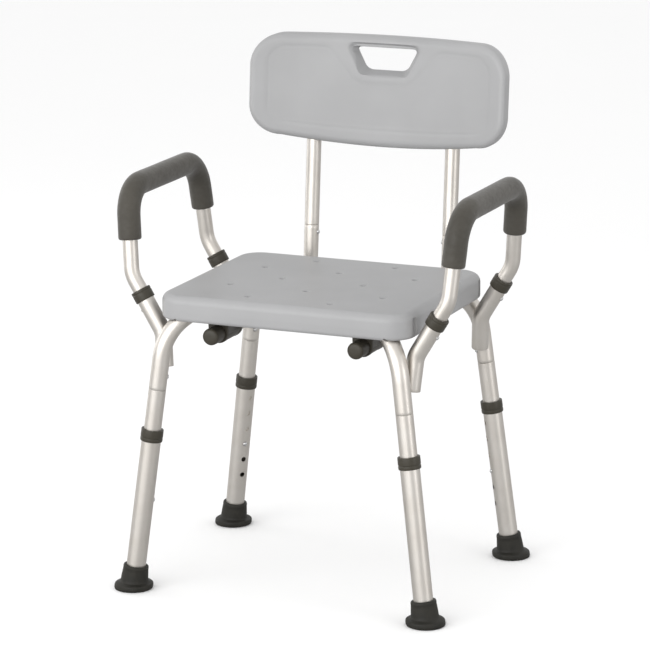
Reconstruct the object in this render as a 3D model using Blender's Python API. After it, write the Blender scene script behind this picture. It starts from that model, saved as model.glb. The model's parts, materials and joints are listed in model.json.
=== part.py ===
"""A height-adjustable shower stool with a lift-off back and two lift-off armrests.

Metres, +Z up, front towards -Y, left towards -X. The origin lies on the floor, under the
middle of the whole stool. Every tube is a ten-sided ring swept along its centre line, and
tubes that slide in one another share their facets, so they keep an even gap.
"""

import math

import bmesh
import bpy
from mathutils import Matrix, Vector

# Driving dimensions
SIDES = 10                    # facets round every tube, collar and foot
GAP = 0.0003                  # gap between pieces that touch
TWIST_FROM = 0.35             # a tube's facets turn only between this share of its length and the rest
FRAME_Y = -0.0314             # the legs' centre, so that the origin is under the stool's middle

# Legs: each leans outward, and stations along it are measured up its axis from the floor
LEG_FOOT = Vector((0.2310, 0.1787, 0.0))
LEG_LEAN = Vector((-0.126, -0.042, 1.0))
PITCH = 0.0254                # height holes, one inch apart
HOLES_BELOW, HOLES_ABOVE = 2, 3
BUTTON_AT = 0.1370            # height button
COLLAR_AT, COLLAR_TALL = 0.2361, 0.018
JOINT_AT = 0.3061             # end of the frame's leg stub
JOINT_BUTTON_AT = 0.3248
SPIGOT_TOP_AT = 0.3470
UPPER_FROM, LOWER_FROM, LOWER_TO = 0.1170, 0.0094, 0.2400

# Tubes as (outer, inner) radii
WIDE = (0.0127, 0.0112)       # frame, upper legs and arm sockets
LEG = (0.0143, 0.0130)
SLIM = (0.0111, 0.0097)       # armrests and back
WIDE_SPIGOT = (0.0109, 0.0094)
SLIM_SPIGOT = (0.0094, 0.0080)
GRIP_OUT, LEG_COLLAR_OUT, ARM_COLLAR_OUT = 0.0170, 0.0165, 0.0150

# Seat and the diagonal tubes let into its underside
SEAT_TOP, SEAT_UNDER = 0.4440, 0.4062
SEAT_HALF_X, SEAT_HALF_Y, SEAT_Y = 0.1960, 0.1650, -0.0030
SEAT_CORNER = 0.0380
SEAT_EDGE = 0.0120
SKIN = 0.0032                 # wall of the blow-moulded panels
RUN_Z = 0.4195                # centre line of the diagonal tubes
BEND = 0.078
CHANNEL_HALF = 0.0158
CROSS_LIFT, CROSS_PINCH, CROSS_WIDEN = 0.0062, 0.46, 1.12
CROSS_FLAT, CROSS_RAMP = 0.022, 0.030
DRAIN_R, DRAIN_PITCH, DRAIN_NEAR, DRAIN_FAR = 0.0035, 0.063, 0.064, 0.120
BOLT_FROM_CENTRE = 0.080

# Armrests and their sockets
ARM_Y, ARM_HALF = -0.002, 0.1315
SOCKET_FOOT = Vector((0.1930, 0.1390, 0.3306))      # against the leg, on the side towards the stool's middle
SOCKET_BEND_Z, SOCKET_BEND = 0.3800, 0.034
ARM_TILT = math.radians(31)
ARM_COLLAR_X, ARM_COLLAR_Z, ARM_COLLAR_TALL = 0.2293, 0.4332, 0.017
ARM_ELBOW_ABOVE = 0.034        # from the collar up to the elbow's corner
ARM_CORNER = Vector((0.2577, 0.1190, 0.5872))
GRIP_FROM_Z = 0.5124
ARM_INSERT, ARM_BUTTON_BELOW = 0.0515, 0.020
ELBOW_BEND, CORNER_BEND = 0.050, 0.046
GRIP_STATION = 6              # the station at which an arm grip starts, from either end

# Back: tubes under the seat, posts and panel
POST_X, POST_LEAN = 0.1128, 0.087
POST_Y, POST_JOINT_Z, POST_TOP_Z = 0.2209, 0.4780, 0.7420
POST_BUTTON_BELOW, POST_INSERT = 0.011, 0.046
BACK_TUBE_Z, BACK_TUBE_FRONT, BACK_BEND = 0.3845, -0.150, 0.048
CLAMP_Y, CLAMP_LONG = 0.100, 0.055
PANEL_HALF, PANEL_TOP, PANEL_LOW = 0.2066, 0.7700, 0.6030
PANEL_CORNER, PANEL_THICK, PANEL_EDGE = 0.048, 0.031, 0.0075
PANEL_FRONT, PANEL_FRONT_Z, PANEL_BOW = 0.2258, 0.6110, 0.038
PANEL_SAG = 0.013             # how far the lower edge dips towards its middle
FIELD_DEEP = 0.0015

# Snap clips: a button on a V of spring steel inside the tube
BUTTON_R, BUTTON_HOLE_R = 0.0035, 0.0040
BUTTON_PROUD = 0.0027
CLIP_LONG, CLIP_HALF_WIDE, CLIP_THICK = 0.030, 0.0024, 0.0008

FINISHES = {
    "seat_plastic": ((0.52, 0.52, 0.53), 0.45, 0.0),
    "aluminium": ((0.74, 0.71, 0.67), 0.35, 1.0),
    "grip_foam": ((0.065, 0.062, 0.058), 0.8, 0.0),
    "dark_plastic": ((0.055, 0.052, 0.046), 0.5, 0.0),
    "foot_rubber": ((0.035, 0.035, 0.032), 0.75, 0.0),
    "button_steel": ((0.60, 0.60, 0.60), 0.25, 1.0),
}

UP = Vector((0, 0, 1))
SHIFT = Vector((0, FRAME_Y, 0))
SIDE_NAMES = {-1: "left", 1: "right"}
END_NAMES = {-1: "front", 1: "rear"}
CORNERS = [(sx, sy) for sx in (-1, 1) for sy in (-1, 1)]


# Meshes

def skin(rings, wrap=False):
    """Close a row of equal rings, wrapped end to end or with a flat cap on each end."""
    bm = bmesh.new()
    rows = [[bm.verts.new(point) for point in ring] for ring in rings]
    count = len(rows[0])
    pairs = list(zip(rows, rows[1:]))
    if wrap:
        pairs.append((rows[-1], rows[0]))
    for one, two in pairs:
        for k in range(count):
            after = (k + 1) % count
            bm.faces.new((one[k], one[after], two[after], two[k]))
    if not wrap:
        bm.faces.new(rows[0])
        bm.faces.new(rows[-1])
    bmesh.ops.recalc_face_normals(bm, faces=bm.faces)
    mesh = bpy.data.meshes.new("piece")
    bm.to_mesh(mesh)
    bm.free()
    return mesh


def joined(meshes):
    """Put meshes that don't touch into one."""
    bm = bmesh.new()
    for mesh in meshes:
        bm.from_mesh(mesh)
    mesh = bpy.data.meshes.new("pieces")
    bm.to_mesh(mesh)
    bm.free()
    return mesh


def boolean(mesh, tool, operation="DIFFERENCE"):
    """The mesh after one exact Boolean with the tool."""
    base = bpy.data.objects.new("base", mesh)
    cutter = bpy.data.objects.new("cutter", tool)
    bpy.context.scene.collection.objects.link(base)
    bpy.context.scene.collection.objects.link(cutter)
    step = base.modifiers.new("step", "BOOLEAN")
    step.operation = operation
    step.solver = "EXACT"
    step.object = cutter
    bpy.context.view_layer.update()
    graph = bpy.context.evaluated_depsgraph_get()
    result = bpy.data.meshes.new_from_object(base.evaluated_get(graph))
    bpy.data.objects.remove(base)
    bpy.data.objects.remove(cutter)
    return result


def moved(mesh, offset):
    mesh.transform(Matrix.Translation(offset))
    return mesh


def finish_material(name, finish):
    colour, roughness, metallic = FINISHES[finish]
    material = bpy.data.materials.new(name)
    material.use_nodes = True
    shader = material.node_tree.nodes["Principled BSDF"]
    shader.inputs["Base Color"].default_value = (*colour, 1.0)
    shader.inputs["Roughness"].default_value = roughness
    shader.inputs["Metallic"].default_value = metallic
    material.diffuse_color = (*colour, 1.0)
    return material


def place(name, mesh, finish, parent, smooth=35):
    """Add one named piece under an empty, in that empty's own frame."""
    mesh.shade_smooth()
    mesh.set_sharp_from_angle(angle=math.radians(smooth))
    piece = bpy.data.objects.new(name, mesh)
    piece.parent = parent
    bpy.context.scene.collection.objects.link(piece)
    material = finish_material(name, finish)
    if not mesh.materials:
        mesh.materials.append(material)
    piece.material_slots[0].link = "OBJECT"
    piece.material_slots[0].material = material
    return piece


def anchor(name, origin, x_axis=Vector((1, 0, 0)), z_axis=UP):
    """An empty whose Z runs along z_axis and whose X lies towards x_axis."""
    z = z_axis.normalized()
    x = (x_axis - x_axis.dot(z) * z).normalized()
    turn = Matrix((x, z.cross(x), z)).transposed().to_4x4()
    empty = bpy.data.objects.new(name, None)
    empty.empty_display_size = 0.03
    empty.matrix_world = Matrix.Translation(origin) @ turn
    bpy.context.scene.collection.objects.link(empty)
    return empty


# Paths and the shapes swept along them

def mirrored(point, sx, sy):
    return Vector((point.x * sx, point.y * sy, point.z))


def rounded_path(points, bends, steps=4):
    """Points and directions along a polyline, each inner corner rounded to its radius in bends."""
    path = [(points[0], (points[1] - points[0]).normalized())]
    for before, corner, after, radius in zip(points, points[1:], points[2:], bends):
        back = (before - corner).normalized()
        on = (after - corner).normalized()
        if not radius:
            path.append((corner, (on - back).normalized()))
            continue
        half = back.angle(on) / 2
        centre = corner + (back + on).normalized() * radius / math.sin(half)
        start = corner + back * radius / math.tan(half) - centre
        for k in range(steps + 1):
            angle = (math.pi - 2 * half) * k / steps
            point = centre + start * math.cos(angle) - back * radius * math.sin(angle)
            path.append((point, (-start.normalized() * math.sin(angle) - back * math.cos(angle)).normalized()))
    path.append((points[-1], (points[-1] - points[-2]).normalized()))
    return path


def frames(path, first, last=None):
    """A centre, normal and binormal at each point. The normal starts at first and ends at last."""
    normals = []
    carried = first
    lengths = [0.0]
    for k, (point, tangent) in enumerate(path):
        carried = (carried - carried.dot(tangent) * tangent).normalized()
        normals.append(carried)
        if k:
            lengths.append(lengths[-1] + (point - path[k - 1][0]).length)
    twist = 0.0
    if last is not None:
        end = path[-1][1]
        wanted = (last - last.dot(end) * end).normalized()
        twist = math.atan2(end.dot(normals[-1].cross(wanted)), normals[-1].dot(wanted))
    result = []
    for (point, tangent), normal, length in zip(path, normals, lengths):
        share = min(max((length / lengths[-1] - TWIST_FROM) / (1 - 2 * TWIST_FROM), 0), 1)
        turned = Matrix.Rotation(twist * share, 3, tangent) @ normal
        result.append((point, turned, tangent.cross(turned)))
    return result


def ring(centre, normal, binormal, radius, sides=SIDES):
    """A polygon with the middle of one facet towards normal."""
    points = []
    for k in range(sides):
        angle = (k + 0.5) * 2 * math.pi / sides
        points.append(centre + (normal * math.cos(angle) + binormal * math.sin(angle)) * radius)
    return points


def tube(stations, radii):
    """A hollow tube of one size through the stations that frames() gives."""
    outside = [ring(*station, radii[0]) for station in stations]
    inside = [ring(*station, radii[1]) for station in stations]
    return skin(outside + inside[::-1], wrap=True)


def turned(profile, wrap=False, sides=SIDES):
    """A ring for each (radius, height) of a profile round Z, with one facet facing +X."""
    x, y = Vector((1, 0, 0)), Vector((0, 1, 0))
    rings = [ring(UP * height, x, y, radius, sides) for radius, height in profile]
    return skin(rings, wrap)


def peg(centre, axis, normal, radius, start, stop, sides=8):
    """A solid prism along axis, between two distances from centre."""
    axis = axis.normalized()
    normal = (normal - normal.dot(axis) * axis).normalized()
    binormal = axis.cross(normal)
    return skin([ring(centre + axis * d, normal, binormal, radius, sides) for d in (start, stop)])


def prism(outline, depth):
    """An outline pushed along the vector depth."""
    return skin([outline, [point + depth for point in outline]])


def rounded_rectangle(half_x, half_y, corner, steps=4):
    points = []
    for k, (sx, sy) in enumerate(((1, 1), (-1, 1), (-1, -1), (1, -1))):
        for i in range(steps + 1):
            angle = math.pi / 2 * (k + i / steps)
            points.append(Vector((
                sx * (half_x - corner) + corner * math.cos(angle),
                sy * (half_y - corner) + corner * math.sin(angle),
                0.0,
            )))
    return points


# Snap clips, each in the frame of its own button: X out of the hole, Z up the tube

def clip_mesh(leaf, tip, travel_room):
    """Button and V spring. leaf and tip are distances from the tube's axis."""
    rise = 0.006
    outer = [(leaf, rise), (leaf, -rise), (leaf * 0.35, -CLIP_LONG),
             (-leaf * 0.15, -CLIP_LONG), (-travel_room, -rise)]
    inner = [(-travel_room + CLIP_THICK, -rise), (-leaf * 0.15 + CLIP_THICK * 0.6, CLIP_THICK - CLIP_LONG),
             (leaf * 0.35 - CLIP_THICK * 0.6, CLIP_THICK - CLIP_LONG),
             (leaf - CLIP_THICK, -rise), (leaf - CLIP_THICK, rise)]
    outline = [Vector((x, -CLIP_HALF_WIDE, z)) for x, z in outer + inner]
    spring = prism(outline, Vector((0, 2 * CLIP_HALF_WIDE, 0)))
    profile = [(BUTTON_R, leaf - CLIP_THICK / 2), (BUTTON_R, tip - 0.0012), (BUTTON_R * 0.6, tip)]
    x, y = Vector((1, 0, 0)), Vector((0, 1, 0))
    button = skin([ring(x * d, UP, y, radius, 8) for radius, d in profile])
    return boolean(spring, button, "UNION")


def wall(radius):
    """How far a facet of this radius lies from the axis."""
    return radius * math.cos(math.pi / SIDES)


def snap_clip(outer_tube, holder):
    """The clip for a button through holder and then through outer_tube."""
    leaf = wall(holder[1]) - 0.0004
    travel_room = wall(holder[1]) - 0.0048
    return clip_mesh(leaf, wall(outer_tube[0]) + BUTTON_PROUD, travel_room)


def button_hole(centre, outward, along):
    """A cutter for one wall of a tube: from inside its bore to well outside it."""
    outward = outward - outward.project(along)
    return peg(centre, outward, along, BUTTON_HOLE_R, 0.005, 0.020)


# Legs

def leg_axis(sx, sy):
    return mirrored(LEG_LEAN, sx, sy).normalized()


def inward(sx, sy):
    """Level direction from a leg to the middle of the stool."""
    return mirrored(Vector((-LEG_FOOT.x, -LEG_FOOT.y, 0)), sx, sy).normalized()


def leg_point(sx, sy, station):
    return mirrored(LEG_FOOT, sx, sy) + leg_axis(sx, sy) * station + SHIFT


def leg_meshes():
    """The meshes that all four legs share, in the leg's frame: Z up its axis, X inward."""
    x = Vector((1, 0, 0))
    neck = JOINT_AT - GAP
    upper = turned([
        (WIDE[0], UPPER_FROM), (WIDE[0], neck), (WIDE_SPIGOT[0], neck), (WIDE_SPIGOT[0], SPIGOT_TOP_AT),
        (WIDE_SPIGOT[1], SPIGOT_TOP_AT), (WIDE_SPIGOT[1], neck - 0.001), (WIDE[1], neck - 0.004),
        (WIDE[1], UPPER_FROM),
    ], wrap=True)
    upper = boolean(upper, joined([button_hole(UP * at, x, UP) for at in (BUTTON_AT, JOINT_BUTTON_AT)]))
    lower = turned([(LEG[0], LOWER_FROM), (LEG[0], LOWER_TO), (LEG[1], LOWER_TO), (LEG[1], LOWER_FROM)],
                   wrap=True)
    stations = [BUTTON_AT + PITCH * k for k in range(-HOLES_BELOW, HOLES_ABOVE + 1)]
    lower = boolean(lower, joined([button_hole(UP * at, x, UP) for at in stations]))
    low, high = COLLAR_AT - COLLAR_TALL / 2, COLLAR_AT + COLLAR_TALL / 2
    collar = turned([
        (LEG_COLLAR_OUT, low), (LEG_COLLAR_OUT, high - 0.001), (LEG_COLLAR_OUT - 0.001, high),
        (WIDE[0] + GAP, high), (WIDE[0] + GAP, LOWER_TO + GAP), (LEG[0] + GAP, LOWER_TO + GAP),
        (LEG[0] + GAP, low),
    ], wrap=True)
    return upper, lower, collar


def foot_mesh(sx, sy):
    """A wide flat base that stands level, under a cup that leans with its leg."""
    axis, level = leg_axis(sx, sy), inward(sx, sy)
    outside = [(0.0, 0.0270, 0.0), (0.0020, 0.0286, 0.0), (0.0080, 0.0282, 0.0), (0.0110, 0.0212, 0.5),
               (0.0165, 0.0197, 1.0), (0.0360, 0.0176, 1.0)]
    inside = [(0.0360, LEG[0] + GAP, 1.0), (LOWER_FROM - GAP, LEG[0] + GAP, 1.0)]
    rings = []
    for station, radius, lean in outside + inside:
        across = UP.lerp(axis, lean).normalized()
        normal = (level - level.dot(across) * across).normalized()
        rings.append(ring(axis * station, normal, across.cross(normal), radius))
    return skin(rings)


def build_legs():
    upper, lower, collar = leg_meshes()
    height_clip = snap_clip(LEG, WIDE)
    joint_clip = snap_clip(WIDE, WIDE_SPIGOT)
    for sx, sy in CORNERS:
        corner = f"{END_NAMES[sy]}_{SIDE_NAMES[sx]}"
        base = leg_point(sx, sy, 0)
        axis = anchor(f"leg_axis_{corner}", base, inward(sx, sy), leg_axis(sx, sy))
        place(f"upper_leg_{corner}", upper, "aluminium", axis)
        place(f"lower_leg_{corner}", lower, "aluminium", axis)
        place(f"leg_collar_{corner}", collar, "dark_plastic", axis)
        place(f"foot_{corner}", foot_mesh(sx, sy), "foot_rubber", anchor(f"foot_axis_{corner}", base))
        clip = place(f"leg_height_clip_{corner}", height_clip, "button_steel", axis)
        clip.location, clip.rotation_euler = UP * BUTTON_AT, (math.pi, 0, 0)
        place(f"leg_joint_clip_{corner}", joint_clip, "button_steel", axis).location = UP * JOINT_BUTTON_AT


# Frame: two diagonal tubes that turn down into the leg stubs

def run_end(sx, sy):
    """Where a leg's axis meets the level of the diagonal tubes."""
    return mirrored(LEG_FOOT + LEG_LEAN * RUN_Z, sx, sy)


def diagonal(sx, sy):
    level = run_end(sx, sy)
    return Vector((level.x, level.y, 0)).normalized()


def pinch(mesh, along, lift):
    """Flatten the middle of a diagonal tube and move it up or down, so that two can cross."""
    across = UP.cross(along)
    for vertex in mesh.vertices:
        distance = abs(vertex.co.dot(along))
        open_share = min(max((distance - CROSS_FLAT) / CROSS_RAMP, 0), 1)
        rise = vertex.co.z - RUN_Z
        side = vertex.co.dot(across)
        if distance > CROSS_FLAT + CROSS_RAMP + 0.001:
            continue
        height = RUN_Z + lift * (1 - open_share) + rise * (CROSS_PINCH + (1 - CROSS_PINCH) * open_share)
        vertex.co += across * side * (CROSS_WIDEN - 1) * (1 - open_share)
        vertex.co.z = height


def cross_tube(sx, lift):
    """The tube from the front leg on side sx to the rear leg on the other side."""
    ends = [(sx, -1), (-sx, 1)]
    along = diagonal(*ends[0])
    middle = UP * RUN_Z
    points = [mirrored(LEG_FOOT, *ends[0]) + leg_axis(*ends[0]) * JOINT_AT, run_end(*ends[0])]
    for reach in (CROSS_FLAT + CROSS_RAMP, CROSS_FLAT, -CROSS_FLAT, -CROSS_FLAT - CROSS_RAMP):
        points.append(middle + along * reach)
    points += [run_end(*ends[1]), mirrored(LEG_FOOT, *ends[1]) + leg_axis(*ends[1]) * JOINT_AT]
    path = rounded_path(points, [BEND, 0, 0, 0, 0, BEND])
    mesh = tube(frames(path, inward(*ends[0]), inward(*ends[1])), WIDE)
    pinch(mesh, along, lift)
    holes = [button_hole(mirrored(LEG_FOOT, *end) + leg_axis(*end) * JOINT_BUTTON_AT,
                         inward(*end), leg_axis(*end)) for end in ends]
    for reach in (-BOLT_FROM_CENTRE, BOLT_FROM_CENTRE):
        holes.append(peg(middle + along * reach, UP, along, 0.0031, -0.020, 0.020))
    return boolean(mesh, joined(holes))


def build_frame(root):
    for sx, lift in ((-1, CROSS_LIFT), (1, -CROSS_LIFT)):
        name = f"cross_tube_front_{SIDE_NAMES[sx]}"
        place(name, moved(cross_tube(sx, lift), SHIFT), "aluminium", root)
    head, shank, tip = 0.0055, 0.0026, 0.0308
    bolt = turned([(head * 0.8, -0.0045), (head, -0.0035), (head, 0.0), (shank, 0.0), (shank, tip)],
                  sides=8)
    for sx, sy in CORNERS:
        spot = diagonal(sx, sy) * BOLT_FROM_CENTRE + SHIFT
        spot.z = RUN_Z - WIDE[0] - 0.0006
        place(f"frame_bolt_{END_NAMES[sy]}_{SIDE_NAMES[sx]}", bolt, "button_steel", root).location = spot


# Seat

def channel(sx, grow):
    """A cutter round one diagonal tube, open below, that follows the bends at its ends."""
    along = diagonal(sx, 1)
    across = UP.cross(along) * (CHANNEL_HALF + grow)
    half = (-leg_axis(sx, 1)).angle(-along) / 2
    end = run_end(sx, 1)
    reach = math.hypot(end.x, end.y) - BEND / math.tan(half)
    radius = BEND + WIDE[0] + 0.0016 + grow
    arc = []
    for k in range(6):
        angle = math.radians(90 - 62 * k / 5)
        arc.append((reach + radius * math.cos(angle), RUN_Z - BEND + radius * math.sin(angle)))
    low = SEAT_UNDER - 0.030
    side = arc + [(arc[-1][0], low)]
    outline = [along * d + UP * z - across for d, z in side]
    outline += [-along * d + UP * z - across for d, z in side[::-1]]
    return prism(outline, across * 2)


def seat_block(inset, steps):
    """The seat's outline stacked from bottom to top, with rounded edges."""
    rings = []
    low, high = SEAT_UNDER + inset, SEAT_TOP - inset
    under_edge, top_edge = 0.006, SEAT_EDGE
    rows = []
    for k in range(3):
        angle = math.pi / 2 * k / 2
        rows.append((low + under_edge * (1 - math.sin(angle)), under_edge * (1 - math.cos(angle))))
    rows = rows[::-1]
    for k in range(4):
        angle = math.pi / 2 * k / 3
        rows.append((high - top_edge * (1 - math.sin(angle)), top_edge * (1 - math.cos(angle))))
    for height, tuck in rows:
        outline = rounded_rectangle(SEAT_HALF_X - inset - tuck, SEAT_HALF_Y - inset - tuck,
                                    SEAT_CORNER - inset - tuck, steps)
        rings.append([point + UP * height + Vector((0, SEAT_Y, 0)) for point in outline])
    return skin(rings)


def drain_spots():
    """Staggered rows: two holes, three holes, two, three, two, from front to rear."""
    spots = []
    for row in range(-2, 3):
        places = (-DRAIN_NEAR, DRAIN_NEAR) if row % 2 == 0 else (-DRAIN_FAR, 0.0, DRAIN_FAR)
        spots += [Vector((x, SEAT_Y + row * DRAIN_PITCH, 0)) for x in places]
    return spots


def seat_pegs(grow):
    """Drain holes and the four grooves beside the arm sockets, as one set of cutters."""
    x = Vector((1, 0, 0))
    pegs = [peg(spot, UP, x, DRAIN_R + grow, 0.38, 0.46) for spot in drain_spots()]
    for sx, sy in CORNERS:
        groove = Vector((sx * (SEAT_HALF_X + 0.0035), ARM_Y + sy * ARM_HALF, 0))
        pegs.append(peg(groove, UP, x, 0.0078 + grow, 0.38, SEAT_TOP - 0.008 + grow))
    return joined(pegs)


def build_seat(root):
    hollow = seat_block(SKIN, 3)
    for tool in (seat_pegs(SKIN), channel(1, SKIN), channel(-1, SKIN)):
        hollow = boolean(hollow, tool)
    seat = boolean(seat_block(0, 5), hollow)
    for tool in (seat_pegs(0), channel(1, 0), channel(-1, 0)):
        seat = boolean(seat, tool)
    holes = [peg(Vector((0, -0.110, 0)), UP, Vector((1, 0, 0)), 0.004, 0.38, 0.415)]
    for sx, sy in CORNERS:
        spot = diagonal(sx, sy) * BOLT_FROM_CENTRE
        holes.append(peg(spot, UP, Vector((1, 0, 0)), 0.0031, 0.425, 0.438))
    place("seat_panel", moved(boolean(seat, joined(holes)), SHIFT), "seat_plastic", root)


# Armrests

def arm_direction(sx):
    return Vector((sx * math.sin(ARM_TILT), 0, math.cos(ARM_TILT)))


def arm_outboard(sx):
    return Vector((sx * math.cos(ARM_TILT), 0, -math.sin(ARM_TILT)))


def arm_collar_point(sx, sy):
    return Vector((sx * ARM_COLLAR_X, ARM_Y + sy * ARM_HALF, ARM_COLLAR_Z))


def arm_stations(sx):
    """An armrest's stations from its front foot to its rear one; its grip starts at GRIP_STATION."""
    halves = []
    for sy in (-1, 1):
        foot = arm_collar_point(sx, sy) - arm_direction(sx) * ARM_INSERT
        elbow = arm_collar_point(sx, sy) + arm_direction(sx) * ARM_ELBOW_ABOVE
        corner = mirrored(ARM_CORNER, sx, sy) + Vector((0, ARM_Y, 0))
        share = (GRIP_FROM_Z - elbow.z) / (corner.z - elbow.z)
        halves.append([foot, elbow, elbow.lerp(corner, share), corner])
    path = rounded_path(halves[0] + halves[1][::-1], [ELBOW_BEND, 0, CORNER_BEND, CORNER_BEND, 0, ELBOW_BEND])
    return frames(path, arm_outboard(sx), arm_outboard(sx))


def arm_socket(sx, sy):
    """A bent stub that stands against its leg and takes one end of an armrest."""
    collar = arm_collar_point(sx, sy)
    bend = collar - arm_direction(sx) * ((ARM_COLLAR_Z - SOCKET_BEND_Z) / math.cos(ARM_TILT))
    path = rounded_path([mirrored(SOCKET_FOOT, sx, sy), bend, collar + arm_direction(sx) * 0.002],
                        [SOCKET_BEND], 3)
    mesh = tube(frames(path, Vector((sx, 0, 0)), arm_outboard(sx)), WIDE)
    button = collar - arm_direction(sx) * ARM_BUTTON_BELOW
    return boolean(mesh, button_hole(button, arm_outboard(sx), arm_direction(sx)))


def build_arms(root):
    clip = snap_clip(WIDE, SLIM)
    half = ARM_COLLAR_TALL / 2
    collar = turned([
        (ARM_COLLAR_OUT, -half), (ARM_COLLAR_OUT, half - 0.001), (ARM_COLLAR_OUT - 0.001, half),
        (SLIM[0] + GAP, half), (SLIM[0] + GAP, 0.0023), (WIDE[0] + GAP, 0.0023), (WIDE[0] + GAP, -half),
    ], wrap=True)
    for sx in (-1, 1):
        side = SIDE_NAMES[sx]
        base = arm_collar_point(sx, -1) + SHIFT
        axis = anchor(f"arm_axis_{side}", base)
        outboard, along = arm_outboard(sx), arm_direction(sx)
        stations = arm_stations(sx)
        rail = tube(stations, SLIM)
        holes = []
        for sy in (-1, 1):
            centre = arm_collar_point(sx, sy) - along * ARM_BUTTON_BELOW
            corner = f"{END_NAMES[sy]}_{side}"
            holes.append(button_hole(centre, outboard, along))
            place(f"arm_socket_{corner}", moved(arm_socket(sx, sy), SHIFT), "aluminium", root)
            spot = anchor(f"arm_clip_axis_{corner}", centre + SHIFT, outboard, along)
            place(f"arm_clip_{corner}", clip, "button_steel", spot)
            spot = anchor(f"arm_collar_axis_{corner}", arm_collar_point(sx, sy) + SHIFT, outboard, along)
            place(f"arm_collar_{corner}", collar, "dark_plastic", spot)
        rail = boolean(rail, joined(holes))
        place(f"arm_tube_{side}", moved(rail, SHIFT - base), "aluminium", axis)
        grip = tube(stations[GRIP_STATION:-GRIP_STATION], (GRIP_OUT, SLIM[0] + GAP))
        place(f"arm_grip_{side}", moved(grip, SHIFT - base), "grip_foam", axis)


# Back

def post_point(sx, height):
    """A point on a back post's axis."""
    return Vector((sx * POST_X, POST_Y + POST_LEAN * (height - POST_JOINT_Z), height))


POST_AXIS = Vector((0, POST_LEAN, 1)).normalized()


def back_tube(sx):
    path = rounded_path([Vector((sx * POST_X, BACK_TUBE_FRONT, BACK_TUBE_Z)), post_point(sx, BACK_TUBE_Z),
                         post_point(sx, POST_JOINT_Z - GAP)], [BACK_BEND])
    inboard = Vector((-sx, 0, 0))
    mesh = tube(frames(path, inboard, inboard), SLIM)
    button = post_point(sx, POST_JOINT_Z) - POST_AXIS * POST_BUTTON_BELOW
    return boolean(mesh, button_hole(button, inboard, POST_AXIS))


def clamp_mesh(sx):
    """A plastic saddle that hangs under the seat and rings the tube."""
    top = SEAT_UNDER - GAP * 2 - BACK_TUBE_Z
    ring_r = 0.0152
    outline = [(0.0178, top), (0.0178, top - 0.0035), (0.0152, top - 0.0050)]
    for k in range(7):
        angle = -math.pi * k / 6
        outline.append((ring_r * math.cos(angle), ring_r * math.sin(angle)))
    outline += [(-0.0152, top - 0.0050), (-0.0178, top - 0.0035), (-0.0178, top)]
    start = Vector((0, -CLAMP_LONG / 2, 0))
    body = prism([Vector((x, 0, z)) + start for x, z in outline], -start * 2)
    bore = peg(Vector(), Vector((0, 1, 0)), Vector((-sx, 0, 0)), SLIM[0] + GAP, -0.040, 0.040, SIDES)
    return boolean(body, bore)


def panel_front(x):
    """How far back the panel's front face lies at x, before its lean."""
    return PANEL_FRONT - PANEL_BOW * (x / PANEL_HALF) ** 2


def panel_point(x, deep, height):
    """deep is measured back from the front face."""
    return Vector((x, panel_front(x) + deep + POST_LEAN * (height - PANEL_FRONT_Z), height))


def panel_edges(x, shrink):
    """The panel's lower and upper edge at x, drawn in by shrink."""
    corner = PANEL_CORNER - shrink
    past = max(abs(x) - (PANEL_HALF - PANEL_CORNER), 0)
    drop = corner - math.sqrt(max(corner ** 2 - past ** 2, 0))
    sag = PANEL_SAG * min(abs(x) / (PANEL_HALF - PANEL_CORNER), 1) ** 2
    return PANEL_LOW + sag + shrink + drop, PANEL_TOP - shrink - drop


def panel_block(shrink):
    """The bowed panel as sections from left to right, each a rounded rectangle."""
    half = PANEL_HALF - shrink
    right = [(0.0, 0.0), (0.060, 0.0), (0.115, 0.0), (half - PANEL_CORNER + shrink, 0.0)]
    for share in (0.45, 0.75, 0.93):
        right.append((half - (PANEL_CORNER - shrink) * (1 - share), 0.0))
    right += [(half - 0.0008, 0.0012), (half, PANEL_EDGE * 0.6)]
    stations = [(-x, tuck) for x, tuck in right[:0:-1]] + right
    rings = []
    for x, tuck in stations:
        low, high = panel_edges(x, shrink)
        low, high = low + tuck * 0.3, high - tuck * 0.3
        near, far = shrink + tuck, PANEL_THICK - shrink - tuck
        edge = PANEL_EDGE - shrink / 2 - tuck / 2
        section = []
        for k, (deep, height, sd, sh) in enumerate(((far, high, -1, -1), (near, high, 1, -1),
                                                    (near, low, 1, 1), (far, low, -1, 1))):
            for i in range(3):
                angle = math.pi / 2 * (k + i / 2)
                section.append(panel_point(x, deep + sd * edge + edge * math.cos(angle),
                                           height + sh * edge + edge * math.sin(angle)))
        rings.append(section)
    return skin(rings)


def handle_tool(grow):
    """The hand hole: wider at its top than at its bottom, with rounded corners."""
    top, bottom = 0.0500, 0.0315
    high, low = 0.7520, 0.7180
    corner = 0.008
    outline = []
    for sx in (1, -1):
        upper = [(top - corner * (1 - math.sin(a)), high - corner * (1 - math.cos(a)))
                 for a in (0, math.pi / 4, math.pi / 2)]
        lower = [(bottom + corner * 0.6, low + corner * 0.7), (bottom - corner * 0.4, low)]
        half = upper + lower
        outline += [(sx * x, z) for x, z in (half if sx == 1 else half[::-1])]
    centre_z = (high + low) / 2
    points = []
    for x, z in outline:
        spread = Vector((x, 0, z - centre_z))
        points.append(spread + spread.normalized() * grow + Vector((0, 0.15, centre_z)))
    return prism(points, Vector((0, 0.16, 0)))


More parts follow.
